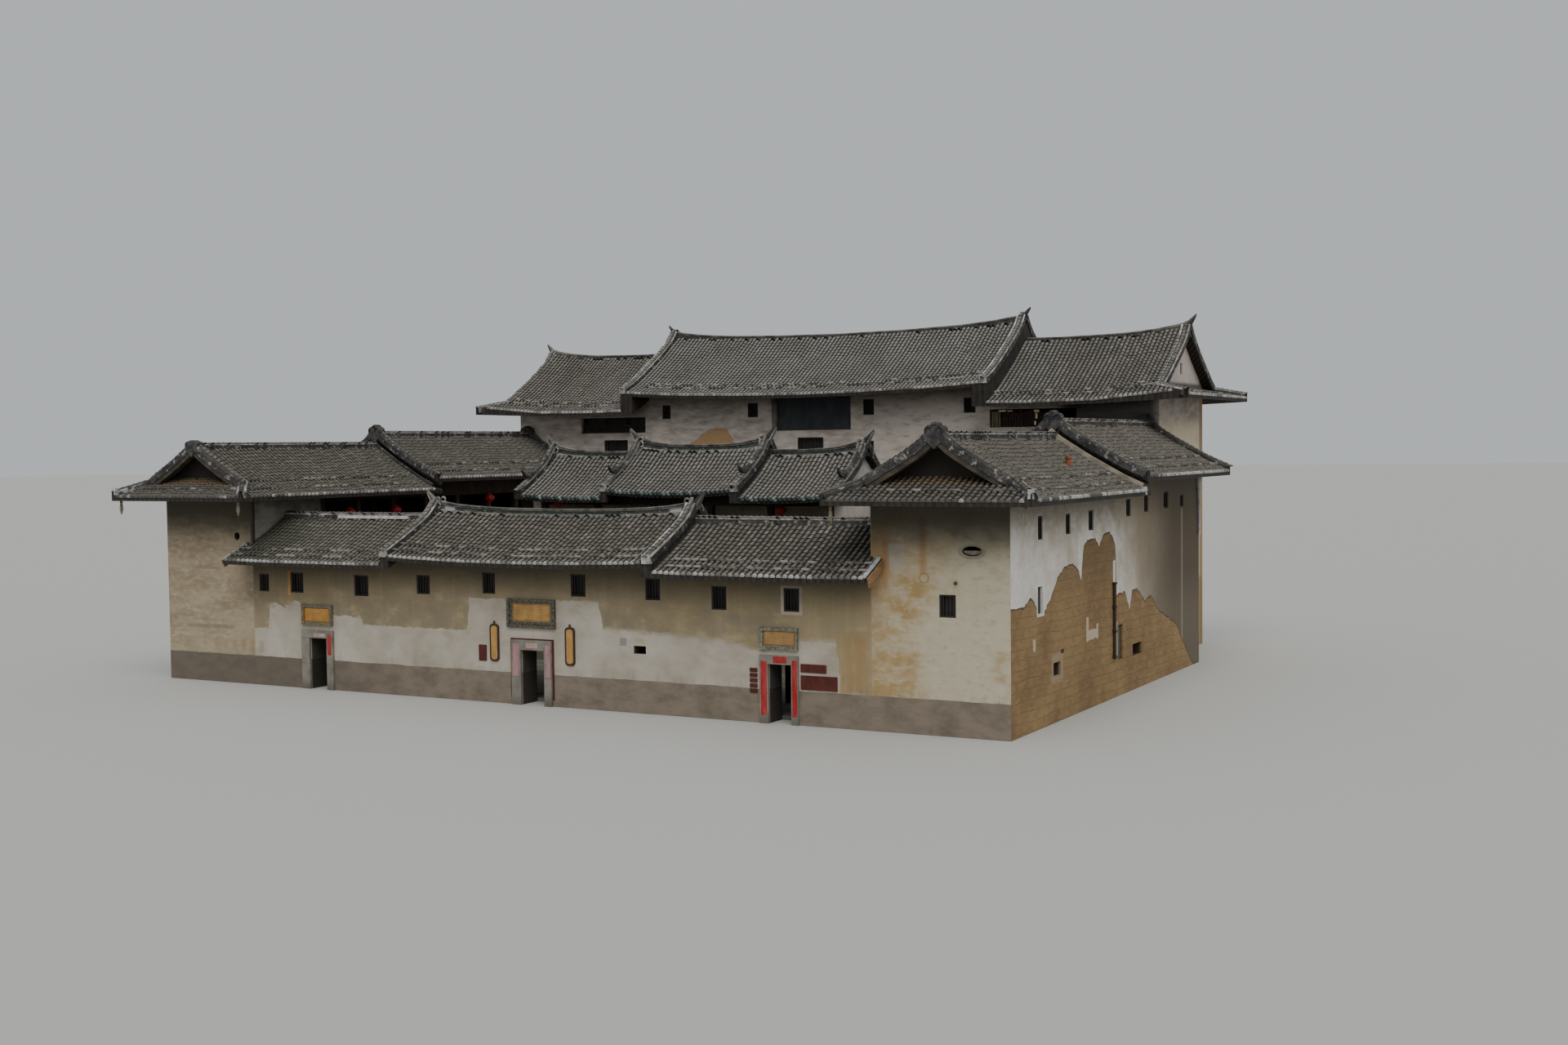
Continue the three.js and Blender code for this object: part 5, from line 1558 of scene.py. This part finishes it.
# Ends of the hall's side roofs, which run on past the corners of the wings: lime mortar
# over the last row, on a plain brown verge board.
new_lime_finish = finish("new_lime", grained("c4c1bf", "98959a", 0.3, limits=(0.3, 0.75), depth=0.015))
verge_board_finish = finish("verge_board", grained(
    "a3815c", "7b5d40", 0.04, (1, 0.06, 0.2), rough=0.75, depth=0.006))
ends = Making()
cover = [(-0.15, -0.16), (0.15, -0.16), (0.15, 0.03), (0.11, 0.07), (-0.11, 0.07), (-0.15, 0.03)]
board_section = [(-0.03, -0.42), (0.03, -0.42), (0.03, -0.02), (-0.03, -0.02)]
for side, word in ((-1, "left"), (1, "right")):
    path = over(f"hall_{word}_roof", [(side * 17.44, -0.03), (side * 17.44, -1.5)], spacing=0.2)
    ends.run(new_lime_finish, path, cover)
    path = [(x + side * 0.23, y, z) for x, y, z in path]
    ends.run(verge_board_finish, path, board_section)
for roof, verge_x, line, reach in (("hall_centre_roof", 7.275, hall_line, hall_reach),
                                   ("rear_centre_roof", 11.775, rear_line, rear_reach),
                                   ("middle_hall_centre_roof", 3.925, middle_line, middle_reach)):
    for x in (-verge_x, verge_x):
        for y in (line - reach + 0.07, line + reach - 0.07):
            z = on_top(roof, x, y)
            ends.box(lime_line_finish, (x - 0.2, y - 0.12, z - 0.34), (x + 0.2, y + 0.12, z + 0.07))
for side, word in ((-1, "left"), (1, "right")):
    corner_x = side * (wing_line + wing_reach - 0.09)
    for y in (-1.86, 12.36):
        z = on_top(word + "_wing_front_roof", corner_x, y)
        ends.box(new_lime_finish, (corner_x - 0.1, y - 0.1, z - 0.2), (corner_x + 0.1, y + 0.1, z + 0.16))
ends.made("eave_end_blocks", "ridge")


# Small things on the roofs: a strip of new lime on the left ridge of the hall, a clay
# smoke pot on the right wing and carved pendants at the corners of the wings' eaves.
def orange_clay(place):
    clay = place.noise(0.2, detail=4).fade(0.35, 0.7).mix("9a5738", "713f2a")
    return clay, 0.85, place.noise(0.05), 0.01


clay_finish = finish("orange_clay", orange_clay)
wood_finish = finish("weathered_wood", grained(
    "8b8370", "57503f", 0.03, (1, 1, 0.1), rough=0.85, depth=0.008))
extras = Making()
ridge_strip = over("hall_left_roof", [(-13.4, hall_line), (-8.9, hall_line)], lift=-0.08)
extras.run(new_lime_finish, ridge_strip, [(0.12, -0.12), (0.3, -0.12), (0.27, 0.03), (0.12, 0.03)])
pot_x, pot_y = 22.45, 8.6
pot_z = on_top("right_wing_front_roof", pot_x, pot_y)
extras.run(clay_finish, [(pot_x, pot_y, pot_z + rise) for rise in (-0.1, 0.3, 0.36, 0.46)], rod(0.14),
           turned(1.0, 0.9, 1.15, 1.1))
bud = ((0.0, 0.5), (0.12, 0.9), (0.2, 0.55), (0.3, 0.85), (0.62, 1.0), (0.85, 0.55), (1.0, 0.1))
for side in (-1, 1):
    for inner in (-1, 1):
        x = side * wing_line + inner * 4.1
        drops = [(x, -1.75, 9.2 - share * 0.72) for share, _ in bud]
        extras.run(wood_finish, drops, rod(0.09), turned(*(size for _, size in bud)))
extras.box(timber_finish, (-17.08, -0.12, 7.15), (-16.94, 0.02, 9.12))
pipe_x, pipe_y = 23.19, 12.68
extras.run(brown_finish, [(pipe_x, pipe_y, 1.78), (pipe_x, pipe_y, 5.26)], rod(0.075))
for z in (1.85, 3.0, 4.1, 5.18):
    extras.box(brown_finish, (pipe_x - 0.085, pipe_y - 0.11, z), (pipe_x + 0.09, pipe_y + 0.11, z + 0.09))
white_run = [(23.24, 26.7, 9.75), (23.22, 26.75, 9.3), (23.2, 26.8, 8.7), (23.2, 26.85, 6.75)]
extras.run(new_lime_finish, white_run, rod(0.17), turned(1.0, 0.8, 0.4, 0.35))
half_turn = [math.pi * (1 + i / 8) for i in range(9)]
sill = [(21.505 + math.cos(a) * 0.4, 7.4 + math.sin(a) * 0.18) for a in half_turn]
plate(extras, wood_finish, sill, 0.3, 0.08)
fresh_ridge = over("hall_right_roof", [(15.9, hall_line), (17.0, hall_line)], lift=0.03)
extras.run(new_lime_finish, fresh_ridge, [(-0.24, -0.3), (0.24, -0.3), (0.2, 0.03), (-0.2, 0.03)])
extras.made("roof_fittings", "timber")

# Where the higher rear roof of each wing begins, its end is closed with a strip that runs
# down both slopes over the front roof: tan plaster on the right wing and grey mortar on the left.
tan_finish = finish("tan_plaster", grained(
    "a69a88", "7b7060", 0.6, (1, 1, 1.5), detail=5, rough=0.92, depth=0.015))
strip = [(-0.07, -0.05), (0.07, -0.05), (0.07, 0.25), (-0.07, 0.25)]
roof_steps = Making()
for side, word in ((-1, "left"), (1, "right")):
    middle, run_out, step_y = side * wing_line, wing_reach - 0.25, 12.46
    places = [(middle - run_out, step_y), (middle, step_y), (middle + run_out, step_y)]
    path = over(word + "_wing_front_roof", places)
    roof_steps.run(tan_finish if side > 0 else mortar_finish, path, strip)
roof_steps.made("wing_roof_steps", "ridge")

# Scrolls under the horns: two open curls of pale mortar, one above the other, on both
# faces of the ridges of the hall and the middle hall.
scrolls = Making()
curl_section = rod(0.045)
for x, line, node in ((-7.05, hall_line, "hall_ridge"), (7.05, hall_line, "hall_ridge"),
                      (-3.7, middle_line, "middle_hall_centre_ridge"),
                      (3.7, middle_line, "middle_hall_centre_ridge"),
                      (-9.3, middle_line, "middle_hall_left_ridge"),
                      (9.3, middle_line, "middle_hall_right_ridge")):
    low = on_foot(node, x, line) + 0.16
    inward = -math.copysign(1, x)
    for face in (line - 0.2, line + 0.2):
        for rise, size in ((0.15, 0.14), (0.42, 0.12)):
            turns = [math.pi * (-0.6 + 1.35 * i / 8) for i in range(9)]
            curl = [(x + inward * math.cos(a) * size, face, low + rise + math.sin(a) * size) for a in turns]
            scrolls.run(lime_line_finish, curl, curl_section)
scrolls.made("ridge_scrolls", "ridge")

bpy.context.view_layer.update()
